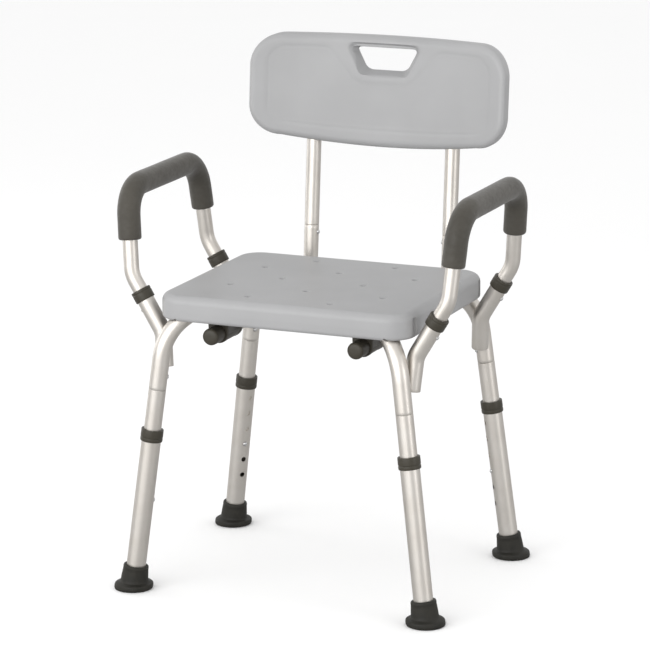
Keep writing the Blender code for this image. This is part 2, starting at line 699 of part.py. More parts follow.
def field_tool():
    """A thin bowed cutter for the shallow field in the panel's face, which dips under the hand hole."""
    half, low, high = 0.175, 0.637, 0.749
    right = [(0.042, 0.700), (0.062, 0.722), (0.083, high), (0.120, high), (0.155, high),
             (0.169, high - 0.004), (half, high - 0.014)]
    stations = [(-x, z) for x, z in right[::-1]] + [(0.0, 0.700)] + right
    rings = []
    for x, top in stations:
        bottom = low + PANEL_SAG * (x / PANEL_HALF) ** 2
        if abs(x) > 0.16:
            bottom += 0.014 if abs(x) == half else 0.004
        rings.append([panel_point(x, -0.02, bottom), panel_point(x, -0.02, top),
                      panel_point(x, FIELD_DEEP, top), panel_point(x, FIELD_DEEP, bottom)])
    return skin(rings)


def build_back(root):
    for sx in (-1, 1):
        side = SIDE_NAMES[sx]
        place(f"back_tube_{side}", moved(back_tube(sx), SHIFT), "aluminium", root)
        front = Vector((sx * POST_X, BACK_TUBE_FRONT, BACK_TUBE_Z)) + SHIFT
        cap = turned([(0.0105, -0.0065), (0.0125, -0.0045), (0.0125, 0.0215), (SLIM[0] + GAP, 0.0215),
                      (SLIM[0] + GAP, -GAP)])
        nose = anchor(f"cap_axis_{side}", front, Vector((-sx, 0, 0)), Vector((0, 1, 0)))
        place(f"back_tube_cap_{side}", cap, "dark_plastic", nose)
        for sy in (-1, 1):
            spot = Vector((sx * POST_X, sy * CLAMP_Y, BACK_TUBE_Z)) + SHIFT
            piece = place(f"tube_clamp_{END_NAMES[sy]}_{side}", clamp_mesh(sx), "dark_plastic", root)
            piece.location = spot

    posts = []
    lift = anchor("back_axis", Vector((0, POST_Y, POST_JOINT_Z)) + SHIFT)
    tall = (POST_TOP_Z - POST_JOINT_Z) / POST_AXIS.z
    post = turned([
        (SLIM_SPIGOT[0], -POST_INSERT), (SLIM_SPIGOT[0], GAP), (SLIM[0], GAP), (SLIM[0], tall),
        (SLIM[1], tall), (SLIM[1], 0.004), (SLIM_SPIGOT[1], 0.001), (SLIM_SPIGOT[1], -POST_INSERT),
    ], wrap=True)
    post = boolean(post, button_hole(-UP * POST_BUTTON_BELOW, Vector((1, 0, 0)), UP))
    clip = snap_clip(SLIM, SLIM_SPIGOT)
    for sx in (-1, 1):
        side = SIDE_NAMES[sx]
        joint = post_point(sx, POST_JOINT_Z)
        foot = anchor(f"post_axis_{side}", joint + SHIFT, Vector((-sx, 0, 0)), POST_AXIS)
        place(f"back_post_{side}", post, "aluminium", foot)
        place(f"back_clip_{side}", clip, "button_steel", foot).location = -UP * POST_BUTTON_BELOW
        posts.append(peg(joint, POST_AXIS, Vector((-sx, 0, 0)), SLIM[0] + 2 * GAP, 0.1, tall + 0.002, SIDES))

    panel = boolean(panel_block(0), boolean(panel_block(SKIN), handle_tool(SKIN)))
    for tool in (handle_tool(0), field_tool(), joined(posts)):
        panel = boolean(panel, tool)
    offset = Vector((0, POST_Y, POST_JOINT_Z))
    place("backrest_panel", moved(panel, -offset), "seat_plastic", lift)


def clear_scene():
    for item in list(bpy.data.objects):
        bpy.data.objects.remove(item)


clear_scene()
frame_root = anchor("stool", Vector())
build_legs()
build_frame(frame_root)
build_seat(frame_root)
build_arms(frame_root)
build_back(frame_root)
bpy.context.view_layer.update()
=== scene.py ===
"""The looks of a height-adjustable shower stool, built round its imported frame.

Metres, +Z up, front towards -Y. Tubes are swept along the same centre lines as the frame's,
and each piece rides on the body of the node that it replaces.
"""

import json
import math

import bmesh
import bpy
from mathutils import Matrix, Quaternion, Vector, noise


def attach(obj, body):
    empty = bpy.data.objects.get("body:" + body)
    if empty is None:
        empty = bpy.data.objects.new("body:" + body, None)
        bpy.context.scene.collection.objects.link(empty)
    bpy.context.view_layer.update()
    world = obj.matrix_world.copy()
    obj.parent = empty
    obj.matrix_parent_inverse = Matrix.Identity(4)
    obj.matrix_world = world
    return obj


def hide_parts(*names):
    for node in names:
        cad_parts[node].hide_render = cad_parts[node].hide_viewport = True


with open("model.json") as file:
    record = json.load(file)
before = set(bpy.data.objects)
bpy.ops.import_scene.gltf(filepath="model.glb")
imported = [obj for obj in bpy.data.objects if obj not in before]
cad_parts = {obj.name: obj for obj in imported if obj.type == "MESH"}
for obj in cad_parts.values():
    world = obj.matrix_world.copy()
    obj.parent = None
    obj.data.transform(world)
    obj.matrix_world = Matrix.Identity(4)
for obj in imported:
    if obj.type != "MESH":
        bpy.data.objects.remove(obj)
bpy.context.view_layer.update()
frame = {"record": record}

# Driving dimensions, as in the frame. A pair of tube radii is (outer, inner), and a leg station
# is a distance along the leg's axis, up from the floor.
SIDES = 48
GAP = 0.0003                        # clearance between pieces that slide or touch
FRAME_Y = -0.0314                   # puts the middle of the stool's box over the origin
WIDE, LEG, SLIM = (0.0127, 0.0112), (0.0143, 0.0130), (0.0111, 0.0097)
WIDE_SPIGOT, SLIM_SPIGOT = (0.0109, 0.0094), (0.0094, 0.0080)
FACET = math.cos(math.pi / 10)      # the frame's tubes have ten sides

# Legs
LEG_FOOT = Vector((0.2310, 0.1787, 0.0))
LEG_LEAN = Vector((-0.126, -0.042, 1.0))
PITCH = 0.0254
HOLES_BELOW, HOLES_ABOVE = 2, 3
BUTTON_AT, JOINT_BUTTON_AT = 0.1370, 0.3248
COLLAR_AT, COLLAR_TALL, LEG_COLLAR_OUT = 0.2361, 0.018, 0.0165
JOINT_AT, SPIGOT_TOP_AT = 0.3061, 0.3470
UPPER_FROM, LOWER_FROM, LOWER_TO = 0.1170, 0.0094, 0.2400

# Diagonal tubes
RUN_Z, BEND = 0.4195, 0.078
CROSS_LIFT, CROSS_PINCH, CROSS_WIDEN = 0.0062, 0.46, 1.12
CROSS_FLAT, CROSS_RAMP = 0.022, 0.030
BOLT_FROM_CENTRE = 0.080

# Seat
SEAT_TOP, SEAT_UNDER = 0.4440, 0.4062
SEAT_HALF_X, SEAT_HALF_Y, SEAT_Y, SEAT_CORNER = 0.1960, 0.1650, -0.0030, 0.0380
SEAT_EDGE, SEAT_UNDER_EDGE, SEAT_SEAM_UP = 0.0125, 0.006, 0.0150
CHANNEL_HALF = 0.0158
DRAIN_PITCH, DRAIN_NEAR, DRAIN_FAR = 0.063, 0.064, 0.120

# Armrests
ARM_Y, ARM_HALF = -0.002, 0.1315
ARM_TILT = math.radians(31)
SOCKET_FOOT = Vector((0.1930, 0.1390, 0.3306))
SOCKET_BEND_Z, SOCKET_BEND = 0.3800, 0.034
ARM_COLLAR_X, ARM_COLLAR_Z, ARM_COLLAR_TALL, ARM_COLLAR_OUT = 0.2293, 0.4332, 0.017, 0.0150
ARM_ELBOW_ABOVE, ELBOW_BEND = 0.034, 0.050
ARM_CORNER, CORNER_BEND = Vector((0.2577, 0.1190, 0.5872)), 0.046
ARM_INSERT, ARM_BUTTON_BELOW = 0.0515, 0.020
GRIP_FROM_Z, GRIP_OUT, GRIP_RIM = 0.5124, 0.0170, 0.0035
BEAD_FROM_Z, BEAD_STEP, BEAD_RINGS = 0.3330, 0.0005, 29

# Back
POST_X, POST_LEAN, POST_Y = 0.1128, 0.087, 0.2209
POST_AXIS = Vector((0, POST_LEAN, 1)).normalized()
POST_JOINT_Z, POST_TOP_Z, POST_BUTTON_BELOW, POST_INSERT = 0.4780, 0.7420, 0.011, 0.046
BACK_TUBE_Z, BACK_TUBE_FRONT, BACK_BEND = 0.3845, -0.150, 0.048
CLAMP_Y, CLAMP_LONG = 0.100, 0.055
PANEL_HALF, PANEL_TOP, PANEL_LOW, PANEL_SAG = 0.2066, 0.7700, 0.6030, 0.013
PANEL_HALF_TALL = (PANEL_TOP - PANEL_LOW - PANEL_SAG) / 2
PANEL_CORNER, PANEL_THICK, PANEL_EDGE = 0.048, 0.031, 0.0095
PANEL_FRONT, PANEL_FRONT_Z, PANEL_BOW = 0.2258, 0.6110, 0.038
HANDLE_TOP, HANDLE_BOTTOM, HANDLE_HIGH, HANDLE_LOW = 0.0500, 0.0315, 0.7520, 0.7180
HANDLE_CORNER, HANDLE_LIP, HANDLE_LIP_FROM = 0.007, 0.0045, 0.0055
FIELD_HALF, FIELD_LOW, FIELD_HIGH, FIELD_CORNER = 0.1800, 0.6355, 0.7540, 0.028
FIELD_DEEP, FIELD_RAMP, GROOVE_DEEP, GROOVE_IN, GROOVE_WIDE = 0.0007, 0.008, 0.0005, 0.002, 0.0025

# Snap clips
BUTTON_R, BUTTON_PROUD, BUTTON_HOLE_R = 0.0035, 0.0027, 0.0038
CLIP_LONG, CLIP_HALF_WIDE, CLIP_THICK = 0.030, 0.0024, 0.0008

# Camera and lights; angles in degrees, with azimuth 0 in front of the stool and 90 on its right
CAMERA_AZIMUTH, CAMERA_ELEVATION, CAMERA_DISTANCE, CAMERA_ROLL = 22.914, 13.799, 5.1926, -0.25
CAMERA_LENS, CAMERA_SHIFT_X, CAMERA_SHIFT_Y = 195.5, 0.0015, 0.0289
CAMERA_AIM, LIGHT_AIM = Vector((0, FRAME_Y, 0.350)), Vector((0, 0, 0.40))
LIGHTS = [                          # name, azimuth, elevation, distance, (width, height), power
    ("key", -15, 13, 3.4, (4.6, 2.8), 88),
    ("left", -100, 4, 2.6, (0.8, 1.6), 8),
    ("right", 75, 6, 2.8, (0.9, 1.6), 11),
]

TUBE_RIM = 0.0004                   # rounding of a tube's cut ends
UV_PER_METRE = 10

UP = Vector((0, 0, 1))
X, Y = Vector((1, 0, 0)), Vector((0, 1, 0))
SHIFT = Vector((0, FRAME_Y, 0))
SIDE_NAMES = {-1: "left", 1: "right"}
END_NAMES = {-1: "front", 1: "rear"}
CORNERS = [(sx, sy) for sx in (-1, 1) for sy in (-1, 1)]
BODY_OF = {node: body for body, nodes in frame["record"]["behaviour"]["bodies"].items() for node in nodes}


# Materials

def new_material(name, colour, roughness, metallic=0.0, **inputs):
    """A Principled material with its node tree, ready for texture nodes."""
    material = bpy.data.materials.new(name)
    material.use_nodes = True
    tree = material.node_tree
    shader = tree.nodes["Principled BSDF"]
    shader.inputs["Base Color"].default_value = (*colour, 1.0)
    shader.inputs["Roughness"].default_value = roughness
    shader.inputs["Metallic"].default_value = metallic
    for key, value in inputs.items():
        shader.inputs[key.replace("_", " ")].default_value = value
    return material, tree, shader


def noise_node(tree, scale, detail, vector, rough=0.5):
    """A noise texture over a vector socket."""
    node = tree.nodes.new("ShaderNodeTexNoise")
    node.inputs["Scale"].default_value = scale
    node.inputs["Detail"].default_value = detail
    node.inputs["Roughness"].default_value = rough
    tree.links.new(vector, node.inputs["Vector"])
    return node


def object_coordinates(tree):
    return tree.nodes.new("ShaderNodeTexCoord").outputs["Object"]


def vary_roughness(tree, shader, socket, low, high):
    """Roughness from low to high over the values that a noise mostly has."""
    node = tree.nodes.new("ShaderNodeMapRange")
    node.inputs["From Min"].default_value = 0.3
    node.inputs["From Max"].default_value = 0.7
    node.inputs["To Min"].default_value = low
    node.inputs["To Max"].default_value = high
    tree.links.new(socket, node.inputs["Value"])
    tree.links.new(node.outputs["Result"], shader.inputs["Roughness"])


def ramp(tree, socket, stops):
    """A colour that follows a value through stops of (value, colour)."""
    node = tree.nodes.new("ShaderNodeValToRGB")
    ends = node.color_ramp.elements
    for k, (place, colour) in enumerate(stops):
        stop = ends[k] if k < 2 else ends.new(place)
        stop.position = place
        stop.color = (*colour, 1.0)
    tree.links.new(socket, node.inputs["Fac"])
    return node.outputs["Color"]


def tint(tree, shader, socket, *stops):
    """A base colour that follows a value through stops of (value, colour)."""
    tree.links.new(ramp(tree, socket, stops), shader.inputs["Base Color"])


def add_bump(tree, shader, height, strength, distance, below=None):
    """A bump on the shader, over the bump below it if there is one."""
    node = tree.nodes.new("ShaderNodeBump")
    node.inputs["Strength"].default_value = strength
    node.inputs["Distance"].default_value = distance
    tree.links.new(height, node.inputs["Height"])
    if below is not None:
        tree.links.new(below, node.inputs["Normal"])
    tree.links.new(node.outputs["Normal"], shader.inputs["Normal"])
    return node.outputs["Normal"]


def moulded_plastic(name, colour, roughness, grain, **inputs):
    """Blow-moulded or injected plastic: a fine grain, a slow unevenness and faint mottling."""
    material, tree, shader = new_material(name, colour, roughness, **inputs)
    place = object_coordinates(tree)
    slow = noise_node(tree, 9.0, 3.0, place)
    lighter = tuple(min(c * 1.035, 1.0) for c in colour)
    darker = tuple(c * 0.965 for c in colour)
    tint(tree, shader, slow.outputs["Fac"], (0.35, darker), (0.65, lighter))
    fine = noise_node(tree, grain, 2.0, place)
    vary_roughness(tree, shader, fine.outputs["Fac"], roughness - 0.06, roughness + 0.08)
    wave = add_bump(tree, shader, noise_node(tree, 26.0, 1.0, place).outputs["Fac"], 0.10, 0.0012)
    add_bump(tree, shader, fine.outputs["Fac"], 0.22, 0.00025, wave)
    return material


def drawn_aluminium(name):
    """Satin anodised tube: fine lines along its length, in the tube's own UV."""
    material, tree, shader = new_material(name, (0.64, 0.605, 0.565), 0.41, 1.0)
    uv = tree.nodes.new("ShaderNodeUVMap")
    stretch = tree.nodes.new("ShaderNodeMapping")
    stretch.inputs["Scale"].default_value = (60.0, 5.0, 1.0)
    tree.links.new(uv.outputs["UV"], stretch.inputs["Vector"])
    lines = noise_node(tree, 3.0, 5.0, stretch.outputs["Vector"], 0.65)
    cloud = noise_node(tree, 30.0, 3.0, object_coordinates(tree))
    tint(tree, shader, cloud.outputs["Fac"], (0.3, (0.615, 0.58, 0.535)), (0.7, (0.665, 0.635, 0.595)))
    vary_roughness(tree, shader, lines.outputs["Fac"], 0.34, 0.48)
    add_bump(tree, shader, lines.outputs["Fac"], 0.10, 0.0002)
    return material


def foam(name):
    """Closed-cell foam: a soft grain with fine pores and a faint sheen."""
    material, tree, shader = new_material(name, (0.052, 0.047, 0.037), 0.62, Specular_IOR_Level=0.40)
    place = object_coordinates(tree)
    pores = tree.nodes.new("ShaderNodeTexVoronoi")
    pores.inputs["Scale"].default_value = 900.0
    tree.links.new(place, pores.inputs["Vector"])
    soft = noise_node(tree, 160.0, 4.0, place)
    slow = noise_node(tree, 14.0, 2.0, place)
    tint(tree, shader, slow.outputs["Fac"], (0.3, (0.045, 0.0405, 0.032)), (0.7, (0.062, 0.056, 0.045)))
    vary_roughness(tree, shader, soft.outputs["Fac"], 0.50, 0.72)
    below = add_bump(tree, shader, soft.outputs["Fac"], 0.25, 0.0006)
    add_bump(tree, shader, pores.outputs["Distance"], 0.18, 0.0003, below)
    shader.inputs["Sheen Weight"].default_value = 0.25
    shader.inputs["Sheen Roughness"].default_value = 0.45
    return material


def rubber(name):
    """Moulded rubber, slightly dusty."""
    material, tree, shader = new_material(name, (0.018, 0.0165, 0.013), 0.55, Specular_IOR_Level=0.25)
    place = object_coordinates(tree)
    dust = noise_node(tree, 55.0, 5.0, place, 0.65)
    tint(tree, shader, dust.outputs["Fac"], (0.35, (0.014, 0.0135, 0.011)), (0.75, (0.029, 0.027, 0.022)))
    vary_roughness(tree, shader, dust.outputs["Fac"], 0.46, 0.68)
    add_bump(tree, shader, noise_node(tree, 700.0, 2.0, place).outputs["Fac"], 0.3, 0.0002)
    return material


def spring_steel(name):
    """Bright steel with fine scuffs."""
    material, tree, shader = new_material(name, (0.60, 0.60, 0.60), 0.24, 1.0)
    scuffs = noise_node(tree, 420.0, 4.0, object_coordinates(tree))
    vary_roughness(tree, shader, scuffs.outputs["Fac"], 0.18, 0.38)
    add_bump(tree, shader, scuffs.outputs["Fac"], 0.08, 0.0001)
    return material


MATERIALS = {
    "seat_plastic": moulded_plastic("seat_plastic", (0.342, 0.342, 0.346), 0.42, 1500.0),
    "aluminium": drawn_aluminium("aluminium"),
    "grip_foam": foam("grip_foam"),
    "dark_plastic": moulded_plastic("dark_plastic", (0.042, 0.037, 0.027), 0.40, 1100.0,
                                    Specular_IOR_Level=0.32),
    "foot_rubber": rubber("foot_rubber"),
    "button_steel": spring_steel("button_steel"),
}


# Meshes

def skin(rings, wrap=False):
    """Join equal rings into one closed mesh with UVs: U round each ring, V along the row."""
    bm = bmesh.new()
    uv = bm.loops.layers.uv.new("UVMap")
    rows = [[bm.verts.new(point) for point in loop] for loop in rings]
    count = len(rows[0])
    lengths = [0.0]
    for before, after in zip(rings, rings[1:] + rings[:1]):
        lengths.append(lengths[-1] + (after[0] - before[0]).length)
    for i in range(len(rows) - (0 if wrap else 1)):
        one, two = rows[i], rows[(i + 1) % len(rows)]
        for k in range(count):
            after = (k + 1) % count
            face = bm.faces.new((one[k], one[after], two[after], two[k]))
            corners = ((k, i), (k + 1, i), (k + 1, i + 1), (k, i + 1))
            for loop, (u, v) in zip(face.loops, corners):
                loop[uv].uv = (u / count, lengths[v] * UV_PER_METRE)
    if not wrap:
        bm.faces.new(rows[0])
        bm.faces.new(rows[-1])
    bmesh.ops.recalc_face_normals(bm, faces=bm.faces)
    mesh = bpy.data.meshes.new("piece")
    bm.to_mesh(mesh)
    bm.free()
    return mesh


def joined(meshes):
    """Several closed meshes as one."""
    bm = bmesh.new()
    for mesh in meshes:
        bm.from_mesh(mesh)
    mesh = bpy.data.meshes.new("pieces")
    bm.to_mesh(mesh)
    bm.free()
    return mesh


def boolean(mesh, tool, operation="DIFFERENCE"):
    """The mesh cut by a closed tool, or joined to it."""
    base = bpy.data.objects.new("base", mesh)
    cutter = bpy.data.objects.new("cutter", tool)
    bpy.context.scene.collection.objects.link(base)
    bpy.context.scene.collection.objects.link(cutter)
    step = base.modifiers.new("step", "BOOLEAN")
    step.operation = operation
    step.solver = "EXACT"
    step.object = cutter
    bpy.context.view_layer.update()
    result = bpy.data.meshes.new_from_object(base.evaluated_get(bpy.context.evaluated_depsgraph_get()))
    bpy.data.objects.remove(base)
    bpy.data.objects.remove(cutter)
    return result


def moved(mesh, offset):
    """The same mesh, moved in place."""
    mesh.transform(Matrix.Translation(offset))
    return mesh


def turn_to(origin, x_axis, z_axis):
    """The matrix of a frame at origin whose Z is z_axis and whose X lies towards x_axis."""
    z = z_axis.normalized()
    x = (x_axis - x_axis.dot(z) * z).normalized()
    return Matrix.Translation(origin) @ Matrix((x, z.cross(x), z)).transposed().to_4x4()


def show(node, mesh, slot, matrix=None, sharp=32):
    """Add a finished piece that stands for one CAD node and rides on that node's body."""
    mesh = mesh.copy()
    if matrix is not None:
        mesh.transform(matrix)
    mesh.materials.clear()
    mesh.materials.append(MATERIALS[slot])
    mesh.shade_smooth()
    mesh.set_sharp_from_angle(angle=math.radians(sharp))
    piece = bpy.data.objects.new(node + ".look", mesh)
    bpy.context.scene.collection.objects.link(piece)
    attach(piece, BODY_OF[node])
    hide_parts(node)
    return piece


# Paths, sweeps and turned shapes

def mirrored(point, sx, sy):
    """A point or direction of the right rear corner, moved to the corner with signs sx and sy."""
    return Vector((point.x * sx, point.y * sy, point.z))


def rounded_path(points, bends, steps=14):
    """Points and directions along a polyline, each inner corner rounded to its radius in bends."""
    path = [(points[0], (points[1] - points[0]).normalized())]
    for before, corner, after, radius in zip(points, points[1:], points[2:], bends):
        back = (before - corner).normalized()
        on = (after - corner).normalized()
        half = back.angle(on) / 2
        centre = corner + (back + on).normalized() * radius / math.sin(half)
        start = corner + back * radius / math.tan(half) - centre
        for k in range(steps + 1):
            angle = (math.pi - 2 * half) * k / steps
            sine, cosine = math.sin(angle), math.cos(angle)
            point = centre + start * cosine - back * radius * sine
            path.append((point, (-start.normalized() * sine - back * cosine).normalized()))
    path.append((points[-1], (points[-1] - points[-2]).normalized()))
    return path


def divided(path, longest=0.012):
    """The same path with its long straight runs cut into short ones."""
    result = [path[0]]
    for (one, _), (two, direction) in zip(path, path[1:]):
        parts = max(1, math.ceil((two - one).length / longest))
        along = (two - one).normalized()
        result += [(one.lerp(two, k / parts), along) for k in range(1, parts)]
        result.append((two, direction))
    return result


def frames(path, first):
    """A centre, normal and binormal at each point of a path."""
    result = []
    carried = first
    for point, tangent in path:
        carried = (carried - carried.dot(tangent) * tangent).normalized()
        result.append((point, carried, tangent.cross(carried)))
    return result


def ring(centre, normal, binormal, radius, sides=SIDES):
    """The points of a circle round a centre."""
    points = []
    for k in range(sides):
        angle = (k + 0.5) * 2 * math.pi / sides
        points.append(centre + (normal * math.cos(angle) + binormal * math.sin(angle)) * radius)
    return points


def tube(path, first, radii):
    """A hollow tube with slightly rounded rims, through a path's points."""
    outer, inner = radii
    stations = frames(path, first)
    head, tail = path[0][1], path[-1][1]

    def rim(end, inwards, pull, shrink):
        """A ring pulled inwards from one end of the tube and shrunk, both as shares of the rounding."""
        centre, normal, binormal = stations[end]
        return ring(centre + inwards * TUBE_RIM * pull, normal, binormal, outer - TUBE_RIM * shrink)

    outside = [rim(0, head, 0.0, 1.0), rim(0, head, 0.3, 0.3), rim(0, head, 1.0, 0.0)]
    outside += [ring(*station, outer) for station in stations[1:-1]]
    outside += [rim(-1, -tail, 1.0, 0.0), rim(-1, -tail, 0.3, 0.3), rim(-1, -tail, 0.0, 1.0)]
    inside = [ring(*station, inner) for station in stations]
    return skin(outside + inside[::-1], wrap=True)


def turned(profile, wrap=False, sides=SIDES):
    """A ring for each (radius, height) of a profile round Z."""
    return skin([ring(UP * height, X, Y, radius, sides) for radius, height in profile], wrap)


def softened(profile, radius, steps=3):
    """A closed profile with each of its corners rounded, where the sides are long enough."""
    result = []
    for k, corner in enumerate(profile):
        here = Vector(corner)
        before, after = Vector(profile[k - 1]), Vector(profile[(k + 1) % len(profile)])
        reach = min(radius, (before - here).length * 0.45, (after - here).length * 0.45)
        one = here + (before - here).normalized() * reach
        two = here + (after - here).normalized() * reach
        for i in range(steps + 1):
            t = i / steps
            point = one * (1 - t) ** 2 + here * 2 * t * (1 - t) + two * t * t
            result.append((point.x, point.y))
    return result


def peg(centre, axis, normal, radius, start, stop, sides=24):
    """A solid cylinder along an axis, from start to stop as distances from its centre point."""
    axis = axis.normalized()
    normal = (normal - normal.dot(axis) * axis).normalized()
    binormal = axis.cross(normal)
    return skin([ring(centre + axis * d, normal, binormal, radius, sides) for d in (start, stop)])


def prism(outline, depth):
    """A closed outline extruded along a vector."""
    return skin([outline, [point + depth for point in outline]])


def button_hole(centre, outward, along):
    """A cutter for one wall of a tube that runs along."""
    outward = outward - outward.project(along)
    return peg(centre, outward, along, BUTTON_HOLE_R, 0.004, 0.020)


# Snap clips

def clip_mesh(leaf, tip, travel_room):
    """A button with a domed head on a V of spring steel, in the frame of its own button."""
    rise = 0.006
    outer = [(leaf, rise), (leaf, -rise), (leaf * 0.35, -CLIP_LONG),
             (-leaf * 0.15, -CLIP_LONG), (-travel_room, -rise)]
    inner = [(-travel_room + CLIP_THICK, -rise),
             (-leaf * 0.15 + CLIP_THICK * 0.6, CLIP_THICK - CLIP_LONG),
             (leaf * 0.35 - CLIP_THICK * 0.6, CLIP_THICK - CLIP_LONG),
             (leaf - CLIP_THICK, -rise), (leaf - CLIP_THICK, rise)]
    spring = prism([Vector((x, -CLIP_HALF_WIDE, z)) for x, z in outer + inner], Y * 2 * CLIP_HALF_WIDE)
    dome = [(BUTTON_R * math.cos(a), tip - 0.0022 + 0.0022 * math.sin(a))
            for a in (0, 0.35, 0.7, 1.0, 1.25, 1.45)]
    profile = [(BUTTON_R, leaf - CLIP_THICK / 2)] + dome
    button = skin([ring(X * d, UP, Y, radius, 24) for radius, d in profile])
    return boolean(spring, button, "UNION")


def snap_clip(outer_tube, holder):
    """The clip that sits in the holder tube, its button through the outer tube's wall."""
    bore = holder[1] * FACET
    return clip_mesh(bore - 0.0004, outer_tube[0] * FACET + BUTTON_PROUD, bore - 0.0048)


# Legs

def leg_axis(sx, sy):
    """The direction up a leg."""
    return mirrored(LEG_LEAN, sx, sy).normalized()


def inward(sx, sy):
    """The level direction from a foot towards the stool's middle."""
    return mirrored(Vector((-LEG_FOOT.x, -LEG_FOOT.y, 0)), sx, sy).normalized()


def leg_frame(sx, sy, station=0.0):
    """The matrix of a leg at a station: Z up the leg, X towards the stool's middle."""
    origin = mirrored(LEG_FOOT, sx, sy) + leg_axis(sx, sy) * station + SHIFT
    return turn_to(origin, inward(sx, sy), leg_axis(sx, sy))


def leg_meshes():
    """The upper leg with its necked top, the lower leg and the collar, standing on Z."""
    neck = JOINT_AT - GAP
    upper = turned([
        (WIDE[0], UPPER_FROM), (WIDE[0], 0.128), (WIDE[0], 0.146), (WIDE[0], 0.2), (WIDE[0], neck - 0.0006),
        (WIDE[0] - 0.0005, neck), (WIDE_SPIGOT[0], neck), (WIDE_SPIGOT[0], 0.318),
        (WIDE_SPIGOT[0], 0.332), (WIDE_SPIGOT[0], SPIGOT_TOP_AT - 0.001),
        (WIDE_SPIGOT[0] - 0.0006, SPIGOT_TOP_AT), (WIDE_SPIGOT[1], SPIGOT_TOP_AT),
        (WIDE_SPIGOT[1], neck - 0.001), (WIDE[1], neck - 0.004), (WIDE[1], UPPER_FROM),
    ], wrap=True)
    upper = boolean(upper, joined([button_hole(UP * at, X, UP) for at in (BUTTON_AT, JOINT_BUTTON_AT)]))
    lower = tube(divided([(UP * LOWER_FROM, UP), (UP * LOWER_TO, UP)], 0.006), X, LEG)
    stations = [BUTTON_AT + PITCH * k for k in range(-HOLES_BELOW, HOLES_ABOVE + 1)]
    lower = boolean(lower, joined([button_hole(UP * at, X, UP) for at in stations]))
    low, high = COLLAR_AT - COLLAR_TALL / 2, COLLAR_AT + COLLAR_TALL / 2
    out = LEG_COLLAR_OUT
    collar = turned(softened([
        (out - 0.0002, low), (out, low + 0.0045), (out - 0.0006, low + 0.0052), (out - 0.0006, low + 0.0062),
        (out, low + 0.0069), (out - 0.0001, high), (WIDE[0] + GAP, high), (WIDE[0] + GAP, LOWER_TO + GAP),
        (LEG[0] + GAP, LOWER_TO + GAP), (LEG[0] + GAP, low),
    ], 0.0009), wrap=True)
    return upper, lower, collar


def foot_mesh(sx, sy):
    """A rubber foot: a level flange with a grooved sole, under a cup that leans with its leg."""
    axis, level = leg_axis(sx, sy), inward(sx, sy)
    outline = [(0.0, 0.0262), (0.0004, 0.0279), (0.0018, 0.0286), (0.0062, 0.0286), (0.0078, 0.0281),
               (0.0087, 0.0270), (0.0093, 0.0250), (0.0099, 0.0226), (0.0108, 0.0211), (0.0124, 0.0204),
               (0.0150, 0.0200), (0.0205, 0.0196), (0.0260, 0.0190), (0.0310, 0.0185), (0.0316, 0.0187),
               (0.0338, 0.0186), (0.0344, 0.0182), (0.0354, 0.0180), (0.0360, 0.0172)]
    inside = [(0.0360, 0.0152), (0.0350, LEG[0] + GAP), (LOWER_FROM - GAP, LEG[0] + GAP)]
    flange_top = LOWER_FROM - GAP
    leans = [min((station - 0.008) / 0.008, 1.0) if station > flange_top else 0.0 for station, _ in outline]
    rings = []
    for (station, radius), lean in zip(outline + inside, leans + [1.0] * len(inside)):
        across = UP.lerp(axis, lean).normalized()
        normal = (level - level.dot(across) * across).normalized()
        rings.append(ring(axis * station, normal, across.cross(normal), radius, 64))
    mesh = skin(rings)
    grooves = []
    for inner in (0.006, 0.012, 0.018):
        outer = inner + 0.003
        profile = [(inner, -0.002), (outer, -0.002), (outer, 0.0012), (inner, 0.0012)]
        grooves.append(turned(profile, wrap=True))
    return boolean(mesh, joined(grooves))


def build_legs():
    upper, lower, collar = leg_meshes()
    height_clip, joint_clip = snap_clip(LEG, WIDE), snap_clip(WIDE, WIDE_SPIGOT)
    for sx, sy in CORNERS:
        corner = f"{END_NAMES[sy]}_{SIDE_NAMES[sx]}"
        matrix = leg_frame(sx, sy)
        show(f"upper_leg_{corner}", upper, "aluminium", matrix)
        show(f"lower_leg_{corner}", lower, "aluminium", matrix)
        show(f"leg_collar_{corner}", collar, "dark_plastic", matrix)
        show(f"foot_{corner}", foot_mesh(sx, sy), "foot_rubber", Matrix.Translation(matrix.translation))
        show(f"leg_height_clip_{corner}", height_clip, "button_steel",
             leg_frame(sx, sy, BUTTON_AT) @ Matrix.Rotation(math.pi, 4, "X"))
        show(f"leg_joint_clip_{corner}", joint_clip, "button_steel", leg_frame(sx, sy, JOINT_BUTTON_AT))


# Frame

def run_end(sx, sy):
    """Where a leg's axis meets the level run of its diagonal tube."""
    return mirrored(LEG_FOOT + LEG_LEAN * RUN_Z, sx, sy)


def diagonal(sx, sy):
    """The level direction from the crossing towards a corner."""
    level = run_end(sx, sy)
    return Vector((level.x, level.y, 0)).normalized()


def smooth_step(value):
    value = min(max(value, 0.0), 1.0)
    return value * value * (3 - 2 * value)


def pinch(mesh, along, lift):
    """Flatten the middle of a diagonal tube and move it up or down, so that two can cross."""
    across = UP.cross(along)
    for vertex in mesh.vertices:
        distance = abs(vertex.co.dot(along))
        if distance > CROSS_FLAT + CROSS_RAMP:
            continue
        share = smooth_step((distance - CROSS_FLAT) / CROSS_RAMP)
        rise, side = vertex.co.z - RUN_Z, vertex.co.dot(across)
        vertex.co += across * side * (CROSS_WIDEN - 1) * (1 - share)
        vertex.co.z = RUN_Z + lift * (1 - share) + rise * (CROSS_PINCH + (1 - CROSS_PINCH) * share)


